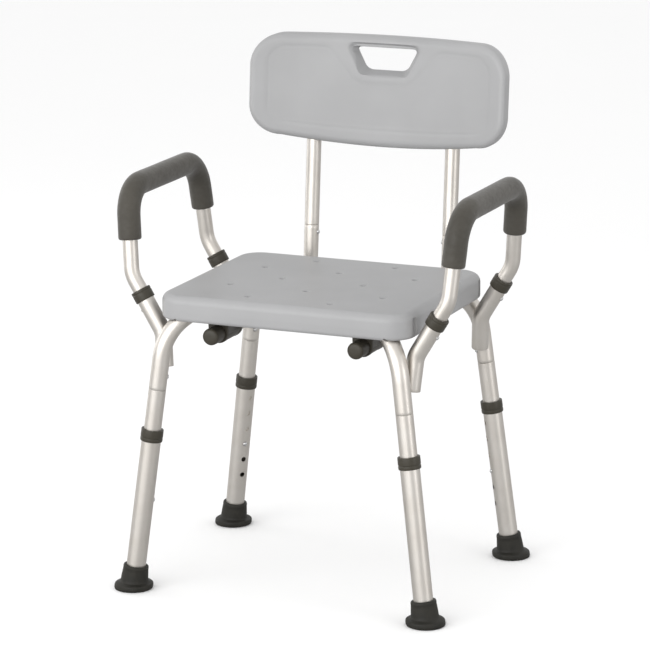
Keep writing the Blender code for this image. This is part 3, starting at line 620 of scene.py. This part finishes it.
def cross_tube(sx, lift):
    """The diagonal tube from the front corner on side sx to the rear corner on the other side."""
    ends = [(sx, -1), (-sx, 1)]
    along, middle = diagonal(*ends[0]), UP * RUN_Z
    feet = [mirrored(LEG_FOOT, *end) + leg_axis(*end) * JOINT_AT for end in ends]
    points = [feet[0], run_end(*ends[0]), run_end(*ends[1]), feet[1]]
    path = divided(rounded_path(points, [BEND, BEND]), 0.004)
    mesh = tube(path, inward(*ends[0]), WIDE)
    pinch(mesh, along, lift)
    holes = [button_hole(mirrored(LEG_FOOT, *end) + leg_axis(*end) * JOINT_BUTTON_AT,
                         inward(*end), leg_axis(*end)) for end in ends]
    for reach in (-BOLT_FROM_CENTRE, BOLT_FROM_CENTRE):
        holes.append(peg(middle + along * reach, UP, along, 0.0031, -0.020, 0.020))
    return boolean(mesh, joined(holes))


def bolt_mesh():
    """A domed screw with a cross recess in its head."""
    head, shank, tip = 0.0055, 0.0026, 0.0308
    dome = [(head * math.sin(a), -0.0012 - 0.0033 * math.cos(a)) for a in (0.15, 0.5, 0.85, 1.2, 1.57)]
    mesh = turned(dome + [(head, 0.0), (shank, 0.0), (shank, tip)], sides=32)
    slots = []
    for long, short in ((0.0028, 0.0006), (0.0006, 0.0028)):
        outline = [Vector((x * long, y * short, -0.006)) for x, y in ((1, 1), (-1, 1), (-1, -1), (1, -1))]
        slots.append(prism(outline, UP * 0.0035))
    return boolean(boolean(mesh, slots[0]), slots[1])


def build_frame():
    for sx, lift in ((-1, CROSS_LIFT), (1, -CROSS_LIFT)):
        show(f"cross_tube_front_{SIDE_NAMES[sx]}", moved(cross_tube(sx, lift), SHIFT), "aluminium")
    bolt = bolt_mesh()
    for sx, sy in CORNERS:
        spot = diagonal(sx, sy) * BOLT_FROM_CENTRE + SHIFT
        spot.z = RUN_Z - WIDE[0] - 0.0006
        show(f"frame_bolt_{END_NAMES[sy]}_{SIDE_NAMES[sx]}", bolt, "button_steel", Matrix.Translation(spot))


# Seat

def rounded_rectangle(half_x, half_y, corner, steps=14):
    points = []
    for k, (sx, sy) in enumerate(((1, 1), (-1, 1), (-1, -1), (1, -1))):
        for i in range(steps + 1):
            angle = math.pi / 2 * (k + i / steps)
            points.append(Vector((sx * (half_x - corner) + corner * math.cos(angle),
                                  sy * (half_y - corner) + corner * math.sin(angle), 0.0)))
    return points


def channel(sx):
    """A cutter round one diagonal tube, open below, that follows the bends at its ends."""
    along = diagonal(sx, 1)
    across = UP.cross(along) * CHANNEL_HALF
    half = (-leg_axis(sx, 1)).angle(-along) / 2
    end = run_end(sx, 1)
    reach = math.hypot(end.x, end.y) - BEND / math.tan(half)
    radius = BEND + WIDE[0] + 0.0016
    arc = []
    for k in range(13):
        angle = math.radians(90 - 62 * k / 12)
        arc.append((reach + radius * math.cos(angle), RUN_Z - BEND + radius * math.sin(angle)))
    side = arc + [(arc[-1][0], SEAT_UNDER - 0.030)]
    outline = [along * d + UP * z - across for d, z in side]
    outline += [-along * d + UP * z - across for d, z in side[::-1]]
    return prism(outline, across * 2)


def seat_block():
    """The seat's outline stacked from bottom to top: rounded edges and a very faint parting line."""
    rows = []
    edge = SEAT_UNDER_EDGE
    for k in range(9):
        angle = math.pi / 2 * k / 8
        rows.append((SEAT_UNDER + edge * (1 - math.cos(angle)), edge * (1 - math.sin(angle))))
    seam = SEAT_UNDER + SEAT_SEAM_UP
    rows += [(seam - 0.0012, 0.0), (seam, -0.00006), (seam + 0.0012, 0.0)]
    edge = SEAT_EDGE
    for k in range(15):
        angle = math.pi / 2 * k / 14
        rows.append((SEAT_TOP - edge * (1 - math.sin(angle)), edge * (1 - math.cos(angle))))
    rings = []
    for height, tuck in rows:
        outline = rounded_rectangle(SEAT_HALF_X - tuck, SEAT_HALF_Y - tuck, SEAT_CORNER - tuck)
        rings.append([point + UP * height + Vector((0, SEAT_Y, 0)) for point in outline])
    return skin(rings)


def drain_spots():
    """Rows of two and of three drain holes by turns."""
    spots = []
    for row in range(-2, 3):
        places = (-DRAIN_NEAR, DRAIN_NEAR) if row % 2 == 0 else (-DRAIN_FAR, 0.0, DRAIN_FAR)
        spots += [Vector((x, SEAT_Y + row * DRAIN_PITCH, 0)) for x in places]
    return spots


def build_seat():
    """The seat with its drain holes, a groove beside each armrest and a channel for each tube."""
    drain = [(0.0036, 0.38), (0.0036, SEAT_TOP - 0.0022), (0.0040, SEAT_TOP - 0.0012),
             (0.0048, SEAT_TOP - 0.0005), (0.0062, SEAT_TOP - 0.0001), (0.0075, SEAT_TOP + 0.0006)]
    seat = seat_block()
    cutters = [moved(turned(drain, sides=28), spot) for spot in drain_spots()]
    for sx, sy in CORNERS:
        groove = Vector((sx * (SEAT_HALF_X + 0.0035), ARM_Y + sy * ARM_HALF, 0))
        cutters.append(peg(groove, UP, X, 0.0078, 0.38, SEAT_TOP - 0.008, 32))
    for tool in (joined(cutters), channel(1), channel(-1)):
        seat = boolean(seat, tool)
    show("seat_panel", moved(seat, SHIFT), "seat_plastic", sharp=28)


# Armrests

def arm_direction(sx):
    """The direction up an armrest's lower ends."""
    return Vector((sx * math.sin(ARM_TILT), 0, math.cos(ARM_TILT)))


def arm_outboard(sx):
    """Square to an armrest's lower ends, away from the seat."""
    return Vector((sx * math.cos(ARM_TILT), 0, -math.sin(ARM_TILT)))


def arm_collar_point(sx, sy):
    """The middle of an arm collar."""
    return Vector((sx * ARM_COLLAR_X, ARM_Y + sy * ARM_HALF, ARM_COLLAR_Z))


def arm_points(sx):
    """For each end of an armrest: its lower end, elbow, start of the grip and upper corner."""
    halves = []
    for sy in (-1, 1):
        foot = arm_collar_point(sx, sy) - arm_direction(sx) * ARM_INSERT
        elbow = arm_collar_point(sx, sy) + arm_direction(sx) * ARM_ELBOW_ABOVE
        corner = mirrored(ARM_CORNER, sx, sy) + Vector((0, ARM_Y, 0))
        share = (GRIP_FROM_Z - elbow.z) / (corner.z - elbow.z)
        halves.append([foot, elbow, elbow.lerp(corner, share), corner])
    return halves


def arm_rail(sx):
    front, rear = arm_points(sx)
    points = [front[0], front[1], front[3], rear[3], rear[1], rear[0]]
    path = rounded_path(points, [ELBOW_BEND, CORNER_BEND, CORNER_BEND, ELBOW_BEND])
    mesh = tube(divided(path, 0.006), arm_outboard(sx), SLIM)
    holes = [button_hole(arm_collar_point(sx, sy) - arm_direction(sx) * ARM_BUTTON_BELOW,
                         arm_outboard(sx), arm_direction(sx)) for sy in (-1, 1)]
    return boolean(mesh, joined(holes))


def arm_grip(sx):
    """A foam sleeve with rounded rims and a faintly uneven surface."""
    front, rear = arm_points(sx)
    path = rounded_path([front[2], front[3], rear[3], rear[2]], [CORNER_BEND, CORNER_BEND], 20)
    path = divided(path, 0.004)
    (start, head), (stop, tail) = path[0], path[-1]
    steps = [0.0, 0.0004, 0.0012, 0.0022]
    path = ([(start + head * d, head) for d in steps] + path[1:-1]
            + [(stop - tail * d, tail) for d in steps[::-1]])
    stations = frames(path, X * sx)
    outside = []
    for centre, normal, binormal in stations:
        from_end = min((centre - start).length, (centre - stop).length)
        share = min(from_end / GRIP_RIM, 1.0)
        radius = GRIP_OUT - GRIP_RIM * (1 - math.sqrt(1 - (1 - share) ** 2)) * 0.75
        loop = ring(centre, normal, binormal, radius, 64)
        outside.append([p + (p - centre) * 0.012 * noise.noise(p * 38.0) for p in loop])
    inside = [ring(centre, normal, binormal, SLIM[0] + GAP, 64) for centre, normal, binormal in stations]
    return skin(outside + inside[::-1], wrap=True)


def arm_socket(sx, sy):
    """A bent stub that stands against its leg, with a weld bead on each side of where they meet."""
    collar = arm_collar_point(sx, sy)
    foot = mirrored(SOCKET_FOOT, sx, sy)
    bend = collar - arm_direction(sx) * ((ARM_COLLAR_Z - SOCKET_BEND_Z) / math.cos(ARM_TILT))
    points = [foot, bend, collar + arm_direction(sx) * 0.002]
    mesh = tube(divided(rounded_path(points, [SOCKET_BEND], 10), 0.005), X * sx, WIDE)
    button = collar - arm_direction(sx) * ARM_BUTTON_BELOW
    mesh = boolean(mesh, button_hole(button, arm_outboard(sx), arm_direction(sx)))
    beads = []
    for side in (-1, 1):
        rings = []
        for k in range(BEAD_RINGS):
            height = BEAD_FROM_Z + BEAD_STEP * k
            leg = mirrored(LEG_FOOT + LEG_LEAN * height, sx, sy)
            stub = foot + (bend - foot) * ((height - foot.z) / (bend.z - foot.z))
            apart = (stub - leg).normalized()
            out = apart.cross(UP).normalized() * side
            taper = math.sqrt(math.sin(math.pi * (k + 0.6) / (BEAD_RINGS + 0.2)))
            radius = (0.0021 + 0.0003 * math.cos(k * 1.4)) * taper
            rings.append(ring((stub + leg) / 2 + out * 0.0044, out, apart, radius, 16))
        beads.append(skin(rings))
    return joined([mesh] + beads)


def build_arms():
    clip = snap_clip(WIDE, SLIM)
    half, out = ARM_COLLAR_TALL / 2, ARM_COLLAR_OUT
    collar = turned(softened([
        (out - 0.0002, -half), (out, half - 0.0056), (out - 0.0005, half - 0.0050),
        (out - 0.0005, half - 0.0042), (out, half - 0.0036), (out - 0.0002, half),
        (SLIM[0] + GAP, half), (SLIM[0] + GAP, 0.0023),
        (WIDE[0] + GAP, 0.0023), (WIDE[0] + GAP, -half),
    ], 0.0009), wrap=True)
    for sx in (-1, 1):
        side = SIDE_NAMES[sx]
        show(f"arm_tube_{side}", moved(arm_rail(sx), SHIFT), "aluminium")
        show(f"arm_grip_{side}", moved(arm_grip(sx), SHIFT), "grip_foam")
        for sy in (-1, 1):
            corner = f"{END_NAMES[sy]}_{side}"
            centre = arm_collar_point(sx, sy) + SHIFT
            show(f"arm_socket_{corner}", moved(arm_socket(sx, sy), SHIFT), "aluminium")
            show(f"arm_collar_{corner}", collar, "dark_plastic",
                 turn_to(centre, arm_outboard(sx), arm_direction(sx)))
            show(f"arm_clip_{corner}", clip, "button_steel",
                 turn_to(centre - arm_direction(sx) * ARM_BUTTON_BELOW, arm_outboard(sx), arm_direction(sx)))


# Back

def post_point(sx, height):
    """A point at a height on the axis of a back post."""
    return Vector((sx * POST_X, POST_Y + POST_LEAN * (height - POST_JOINT_Z), height))


def back_tube(sx):
    """The L-shaped tube that runs under the seat and turns up into the post's joint."""
    points = [Vector((sx * POST_X, BACK_TUBE_FRONT, BACK_TUBE_Z)), post_point(sx, BACK_TUBE_Z),
              post_point(sx, POST_JOINT_Z - GAP)]
    mesh = tube(divided(rounded_path(points, [BACK_BEND]), 0.006), X * -sx, SLIM)
    button = post_point(sx, POST_JOINT_Z) - POST_AXIS * POST_BUTTON_BELOW
    return boolean(mesh, button_hole(button, X * -sx, POST_AXIS))


def back_post():
    """A post with its necked lower end, standing on Z with its joint at the origin."""
    tall = (POST_TOP_Z - POST_JOINT_Z) / POST_AXIS.z
    profile = [(SLIM_SPIGOT[0] - 0.0006, -POST_INSERT), (SLIM_SPIGOT[0], -POST_INSERT + 0.001),
               (SLIM_SPIGOT[0], -0.017), (SLIM_SPIGOT[0], -0.005), (SLIM_SPIGOT[0], GAP),
               (SLIM[0] - 0.0005, GAP), (SLIM[0], GAP + 0.0006)]
    profile += [(SLIM[0], 0.02 + (tall - 0.02) * k / 12) for k in range(13)]
    profile += [(SLIM[1], tall), (SLIM[1], 0.004), (SLIM_SPIGOT[1], 0.001), (SLIM_SPIGOT[1], -POST_INSERT)]
    return boolean(turned(profile, wrap=True), button_hole(-UP * POST_BUTTON_BELOW, X, UP))


def clamp_mesh(sx):
    """A moulded saddle round the tube, with a slimmer middle between two end ribs."""
    top = SEAT_UNDER - GAP * 2 - BACK_TUBE_Z
    outer, neck, lip = 0.0152, 0.0158, 0.0178
    outline = [(lip, top), (lip, top - 0.0035), (neck, top - 0.0050)]
    outline += [(outer * math.cos(-math.pi * k / 24), outer * math.sin(-math.pi * k / 24)) for k in range(25)]
    outline += [(-neck, top - 0.0050), (-lip, top - 0.0035), (-lip, top)]
    rings = []
    half = CLAMP_LONG / 2
    rows = [(-half, 0.93), (-half + 0.0008, 0.985), (-half + 0.0022, 1.0), (-half + 0.008, 1.0),
            (-half + 0.0086, 0.965), (half - 0.0086, 0.965), (half - 0.008, 1.0), (half - 0.0022, 1.0),
            (half - 0.0008, 0.985), (half, 0.93)]
    for y, scale in rows:
        loop = []
        for x, z in outline:
            drawn = 1.0 if z > top - 0.006 and scale > 0.96 else scale
            loop.append(Vector((x * drawn, y, z if z > top - 0.001 else z * drawn)))
        rings.append(loop)
    bore = peg(Vector(), Y, X * -sx, SLIM[0] + GAP, -0.040, 0.040, SIDES)
    return boolean(skin(rings), bore)


def cap_mesh():
    """A sleeve over the tube's end, closed by a shallow dome."""
    profile = [(0.0020, -0.0068), (0.0062, -0.0067), (0.0096, -0.0060), (0.0114, -0.0048), (0.0122, -0.0034),
               (0.0125, -0.0018), (0.0125, 0.0208), (0.0119, 0.0215), (SLIM[0] + GAP, 0.0215),
               (SLIM[0] + GAP, -GAP)]
    return turned(profile)


def panel_sag(x):
    """How far the panel's lower edge hangs below a straight one at x."""
    return PANEL_SAG * (1 - min(abs(x) / (PANEL_HALF - PANEL_CORNER), 1.0) ** 2)


def panel_zeta(x, zeta):
    """Height of the panel at x for zeta, which runs from -1 at its lower edge to 1 at its upper edge."""
    centre = PANEL_TOP - PANEL_HALF_TALL
    past = max(abs(x) - (PANEL_HALF - PANEL_CORNER), 0.0)
    drop = PANEL_CORNER - math.sqrt(max(PANEL_CORNER ** 2 - past ** 2, 0.0))
    reach = PANEL_HALF_TALL - drop
    return centre + zeta * (reach if zeta > 0 else reach + panel_sag(x))


def box_distance(x, z, half_x, half_z, corner):
    """How far inside a rounded rectangle a point lies; negative outside."""
    qx, qz = abs(x) - (half_x - corner), abs(z) - (half_z - corner)
    outside = math.hypot(max(qx, 0.0), max(qz, 0.0))
    return corner - outside - min(max(qx, qz), 0.0)


def handle_distance(x, z):
    """How far outside the hand hole a point of the panel's face lies; negative inside."""
    slope = Vector((HANDLE_TOP - HANDLE_BOTTOM, HANDLE_HIGH - HANDLE_LOW)).normalized()
    side = (abs(x) - HANDLE_BOTTOM) * slope.y - (z - HANDLE_LOW) * slope.x
    sides = [part + HANDLE_CORNER for part in (side, z - HANDLE_HIGH, HANDLE_LOW - z)]
    outer = math.sqrt(sum(max(part, 0.0) ** 2 for part in sides))
    return outer - HANDLE_CORNER + min(max(sides), 0.0)


def blended_max(a, b, width):
    """The larger of two values, eased where they differ by less than the width."""
    h = max(width - abs(a - b), 0.0) / width
    return max(a, b) + h * h * width * 0.25


def field_distance(x, z):
    """How far inside the recessed field a point lies. The field dips under the hand hole."""
    middle, half = (FIELD_LOW + FIELD_HIGH) / 2, (FIELD_HIGH - FIELD_LOW) / 2
    inside = box_distance(x, z - middle, FIELD_HALF, half, FIELD_CORNER)
    dip_half, dip_low, corner = 0.042, 0.700, 0.012
    slope = Vector((0.041, 0.049)).normalized()
    side = (abs(x) - dip_half) * slope.y - (z - dip_low) * slope.x
    shifted = [side + corner, dip_low - z + corner]
    outer = math.sqrt(sum(max(part, 0.0) ** 2 for part in shifted)) - corner + min(max(shifted), 0.0)
    return -blended_max(-inside, -outer, 0.008)


def panel_depth(x, z, level, from_edge, front):
    """How far a face is drawn in from the panel's greatest thickness: round edges and the front's field."""
    def rounding(inside, radius):
        """How far a round edge has dropped at a distance inside it."""
        return radius * (1 - math.sqrt(max(1 - (1 - max(inside, 0.0) / radius) ** 2, 0.0)))

    depth = rounding(from_edge, PANEL_EDGE) if from_edge < PANEL_EDGE else 0.0
    handle = handle_distance(x, z) - HANDLE_LIP_FROM
    if handle < HANDLE_LIP:
        depth = max(depth, rounding(handle, HANDLE_LIP))
    if front:
        field = field_distance(x, PANEL_TOP - PANEL_HALF_TALL + level)
        ramped = min(max(field / FIELD_RAMP, 0.0), 1.0)
        depth += FIELD_DEEP * (0.7 * ramped + 0.3 * smooth_step(ramped))
        depth += GROOVE_DEEP * math.exp(-((field - GROOVE_IN) / GROOVE_WIDE) ** 2)
    return depth


def panel_point(x, zeta, front):
    """A point of the front or the rear face."""
    z = panel_zeta(x, zeta)
    level = z - (PANEL_TOP - PANEL_HALF_TALL)
    if zeta < 0:
        level *= PANEL_HALF_TALL / (PANEL_HALF_TALL + panel_sag(x))
    from_edge = box_distance(x, level, PANEL_HALF, PANEL_HALF_TALL, PANEL_CORNER)
    depth = panel_depth(x, z, level, from_edge, front)
    deep = depth if front else PANEL_THICK - depth
    bow = PANEL_BOW * (x / PANEL_HALF) ** 2
    return Vector((x, PANEL_FRONT - bow + deep + POST_LEAN * (z - PANEL_FRONT_Z), z))


def panel_mesh():
    """The bowed panel as two grids of points, finest where the edges, the hand hole and the field are."""
    half = PANEL_HALF_TALL
    near_x = [0, .0003, .001, .002, .0034, .005, .007, .0095, .0125, .016, .020, .0235, .0266, .0286, .0306,
              .0326, .0346, .038, .043, .0485]
    middle = [-0.156 + 0.0035 * k for k in range(28)] + [-0.058 + 0.002 * k for k in range(59)]
    middle += [0.0615 + 0.0035 * k for k in range(28)]
    columns = [e - PANEL_HALF for e in near_x] + middle + [PANEL_HALF - e for e in near_x[::-1]]
    near_z = [0, .0003, .001, .002, .0034, .005, .007, .0095, .0125]
    levels = [e - half for e in near_z] + [-0.0625 + 0.001 * k for k in range(13)]
    levels += [-0.0495 + 0.003225 * k for k in range(20)] + [0.015 + 0.002 * k for k in range(25)]
    levels += [half - e for e in near_z[::-1]]
    rows = [level / half for level in levels]
    faces = [[[panel_point(x, zeta, front) for zeta in rows] for x in columns] for front in (True, False)]
    bm = bmesh.new()
    made = [[[bm.verts.new(p) for p in line] for line in grid] for grid in faces]
    wide, tall = len(columns), len(rows)
    for grid in made:
        for i in range(wide - 1):
            for k in range(tall - 1):
                bm.faces.new((grid[i][k], grid[i + 1][k], grid[i + 1][k + 1], grid[i][k + 1]))
    border = [(i, 0) for i in range(wide)] + [(wide - 1, k) for k in range(1, tall)]
    border += [(i, tall - 1) for i in range(wide - 2, -1, -1)] + [(0, k) for k in range(tall - 2, 0, -1)]
    for one, two in zip(border, border[1:] + border[:1]):
        bm.faces.new((made[0][one[0]][one[1]], made[0][two[0]][two[1]],
                      made[1][two[0]][two[1]], made[1][one[0]][one[1]]))
    bmesh.ops.recalc_face_normals(bm, faces=bm.faces)
    mesh = bpy.data.meshes.new("panel")
    bm.to_mesh(mesh)
    bm.free()
    return mesh


def handle_tool():
    """The hand hole with round corners, narrowest halfway through the panel and flared to both faces."""
    middle = PANEL_FRONT + PANEL_THICK / 2 + POST_LEAN * (0.735 - PANEL_FRONT_Z)
    rings = []
    for depth in (-0.030, 0.0, 0.030):
        away = abs(depth)
        top, bottom = HANDLE_TOP + away * 0.46, HANDLE_BOTTOM + away * 0.40
        high, low = HANDLE_HIGH + away * 0.22, HANDLE_LOW - away * 0.38
        outline = softened([(top, high), (-top, high), (-bottom, low), (bottom, low)], 0.010, 8)
        rings.append([Vector((x, middle + depth, z)) for x, z in outline])
    return skin(rings)


def build_back():
    post, clip, cap = back_post(), snap_clip(SLIM, SLIM_SPIGOT), cap_mesh()
    bores = []
    for sx in (-1, 1):
        side = SIDE_NAMES[sx]
        joint = post_point(sx, POST_JOINT_Z)
        show(f"back_tube_{side}", moved(back_tube(sx), SHIFT), "aluminium")
        clamp = clamp_mesh(sx)
        front = Vector((sx * POST_X, BACK_TUBE_FRONT, BACK_TUBE_Z)) + SHIFT
        show(f"back_tube_cap_{side}", cap, "dark_plastic", turn_to(front, X * -sx, Y))
        for sy in (-1, 1):
            spot = Vector((sx * POST_X, sy * CLAMP_Y, BACK_TUBE_Z)) + SHIFT
            show(f"tube_clamp_{END_NAMES[sy]}_{side}", clamp, "dark_plastic", Matrix.Translation(spot))
        show(f"back_post_{side}", post, "aluminium", turn_to(joint + SHIFT, X * -sx, POST_AXIS))
        show(f"back_clip_{side}", clip, "button_steel",
             turn_to(joint + SHIFT - POST_AXIS * POST_BUTTON_BELOW, X * -sx, POST_AXIS))
        tall = (POST_TOP_Z - POST_JOINT_Z) / POST_AXIS.z
        bores.append(peg(joint, POST_AXIS, X * -sx, SLIM[0] + 2 * GAP, 0.1, tall + 0.002, SIDES))
    panel = panel_mesh()
    for tool in (handle_tool(), joined(bores)):
        panel = boolean(panel, tool)
    show("backrest_panel", moved(panel, SHIFT), "seat_plastic", sharp=30)


# Stage, lights and camera

def look_from(azimuth, elevation, distance, target):
    """A place round a target and the rotation that looks at it."""
    az, el = math.radians(azimuth), math.radians(elevation)
    back = Vector((math.sin(az) * math.cos(el), -math.cos(az) * math.cos(el), math.sin(el)))
    return target + back * distance, back.to_track_quat("Z", "Y")


def area_light(name, azimuth, elevation, distance, size, power):
    data = bpy.data.lights.new(name, "AREA")
    data.shape = "RECTANGLE"
    data.size, data.size_y = size
    data.energy = power
    light = bpy.data.objects.new(name, data)
    light.location, rotation = look_from(azimuth, elevation, distance, LIGHT_AIM)
    light.rotation_mode = "QUATERNION"
    light.rotation_quaternion = rotation
    bpy.context.scene.collection.objects.link(light)


def build_world():
    """A pale studio, brightest overhead and slightly dimmer above the horizon."""
    world = bpy.data.worlds.new("studio")
    world.use_nodes = True
    tree = world.node_tree
    place = tree.nodes.new("ShaderNodeTexCoord")
    split = tree.nodes.new("ShaderNodeSeparateXYZ")
    tree.links.new(place.outputs["Generated"], split.inputs["Vector"])
    shade = ramp(tree, split.outputs["Z"], [(0.0, (0.98, 0.98, 0.98)), (0.30, (0.90, 0.90, 0.90)),
                                            (1.0, (1.0, 1.0, 1.0))])
    tree.links.new(shade, tree.nodes["Background"].inputs["Color"])
    tree.nodes["Background"].inputs["Strength"].default_value = 1.0
    bpy.context.scene.world = world


def build_floor():
    """A white floor that is darker for every ray but the camera's, so that it bleaches nothing above it."""
    mesh = bpy.data.meshes.new("floor")
    bm = bmesh.new()
    bmesh.ops.create_grid(bm, x_segments=1, y_segments=1, size=9.0)
    bm.to_mesh(mesh)
    bm.free()
    material, tree, shader = new_material("floor", (0.90, 0.90, 0.90), 0.7)
    slow = noise_node(tree, 3.0, 2.0, object_coordinates(tree))
    vary_roughness(tree, shader, slow.outputs["Fac"], 0.65, 0.75)
    shader.inputs["Specular IOR Level"].default_value = 0.2
    path = tree.nodes.new("ShaderNodeLightPath")
    tint(tree, shader, path.outputs["Is Camera Ray"], (0.0, (0.50, 0.50, 0.50)), (1.0, (0.99, 0.99, 0.99)))
    mesh.materials.append(material)
    floor = bpy.data.objects.new("floor", mesh)
    floor.location.z = -0.0005
    bpy.context.scene.collection.objects.link(floor)


def build_camera():
    """A long lens, rolled slightly about the line of sight."""
    data = bpy.data.cameras.new("camera")
    data.lens = CAMERA_LENS
    data.sensor_width = 36.0
    data.shift_x, data.shift_y = CAMERA_SHIFT_X, CAMERA_SHIFT_Y
    data.clip_end = 50.0
    camera = bpy.data.objects.new("camera", data)
    camera.location, rotation = look_from(CAMERA_AZIMUTH, CAMERA_ELEVATION, CAMERA_DISTANCE, CAMERA_AIM)
    camera.rotation_mode = "QUATERNION"
    camera.rotation_quaternion = rotation @ Quaternion(UP, math.radians(CAMERA_ROLL))
    bpy.context.scene.collection.objects.link(camera)
    bpy.context.scene.camera = camera
    bpy.context.scene.view_settings.view_transform = "Standard"


build_legs()
build_frame()
build_seat()
build_arms()
build_back()
build_world()
build_floor()
for light in LIGHTS:
    area_light(*light)
build_camera()
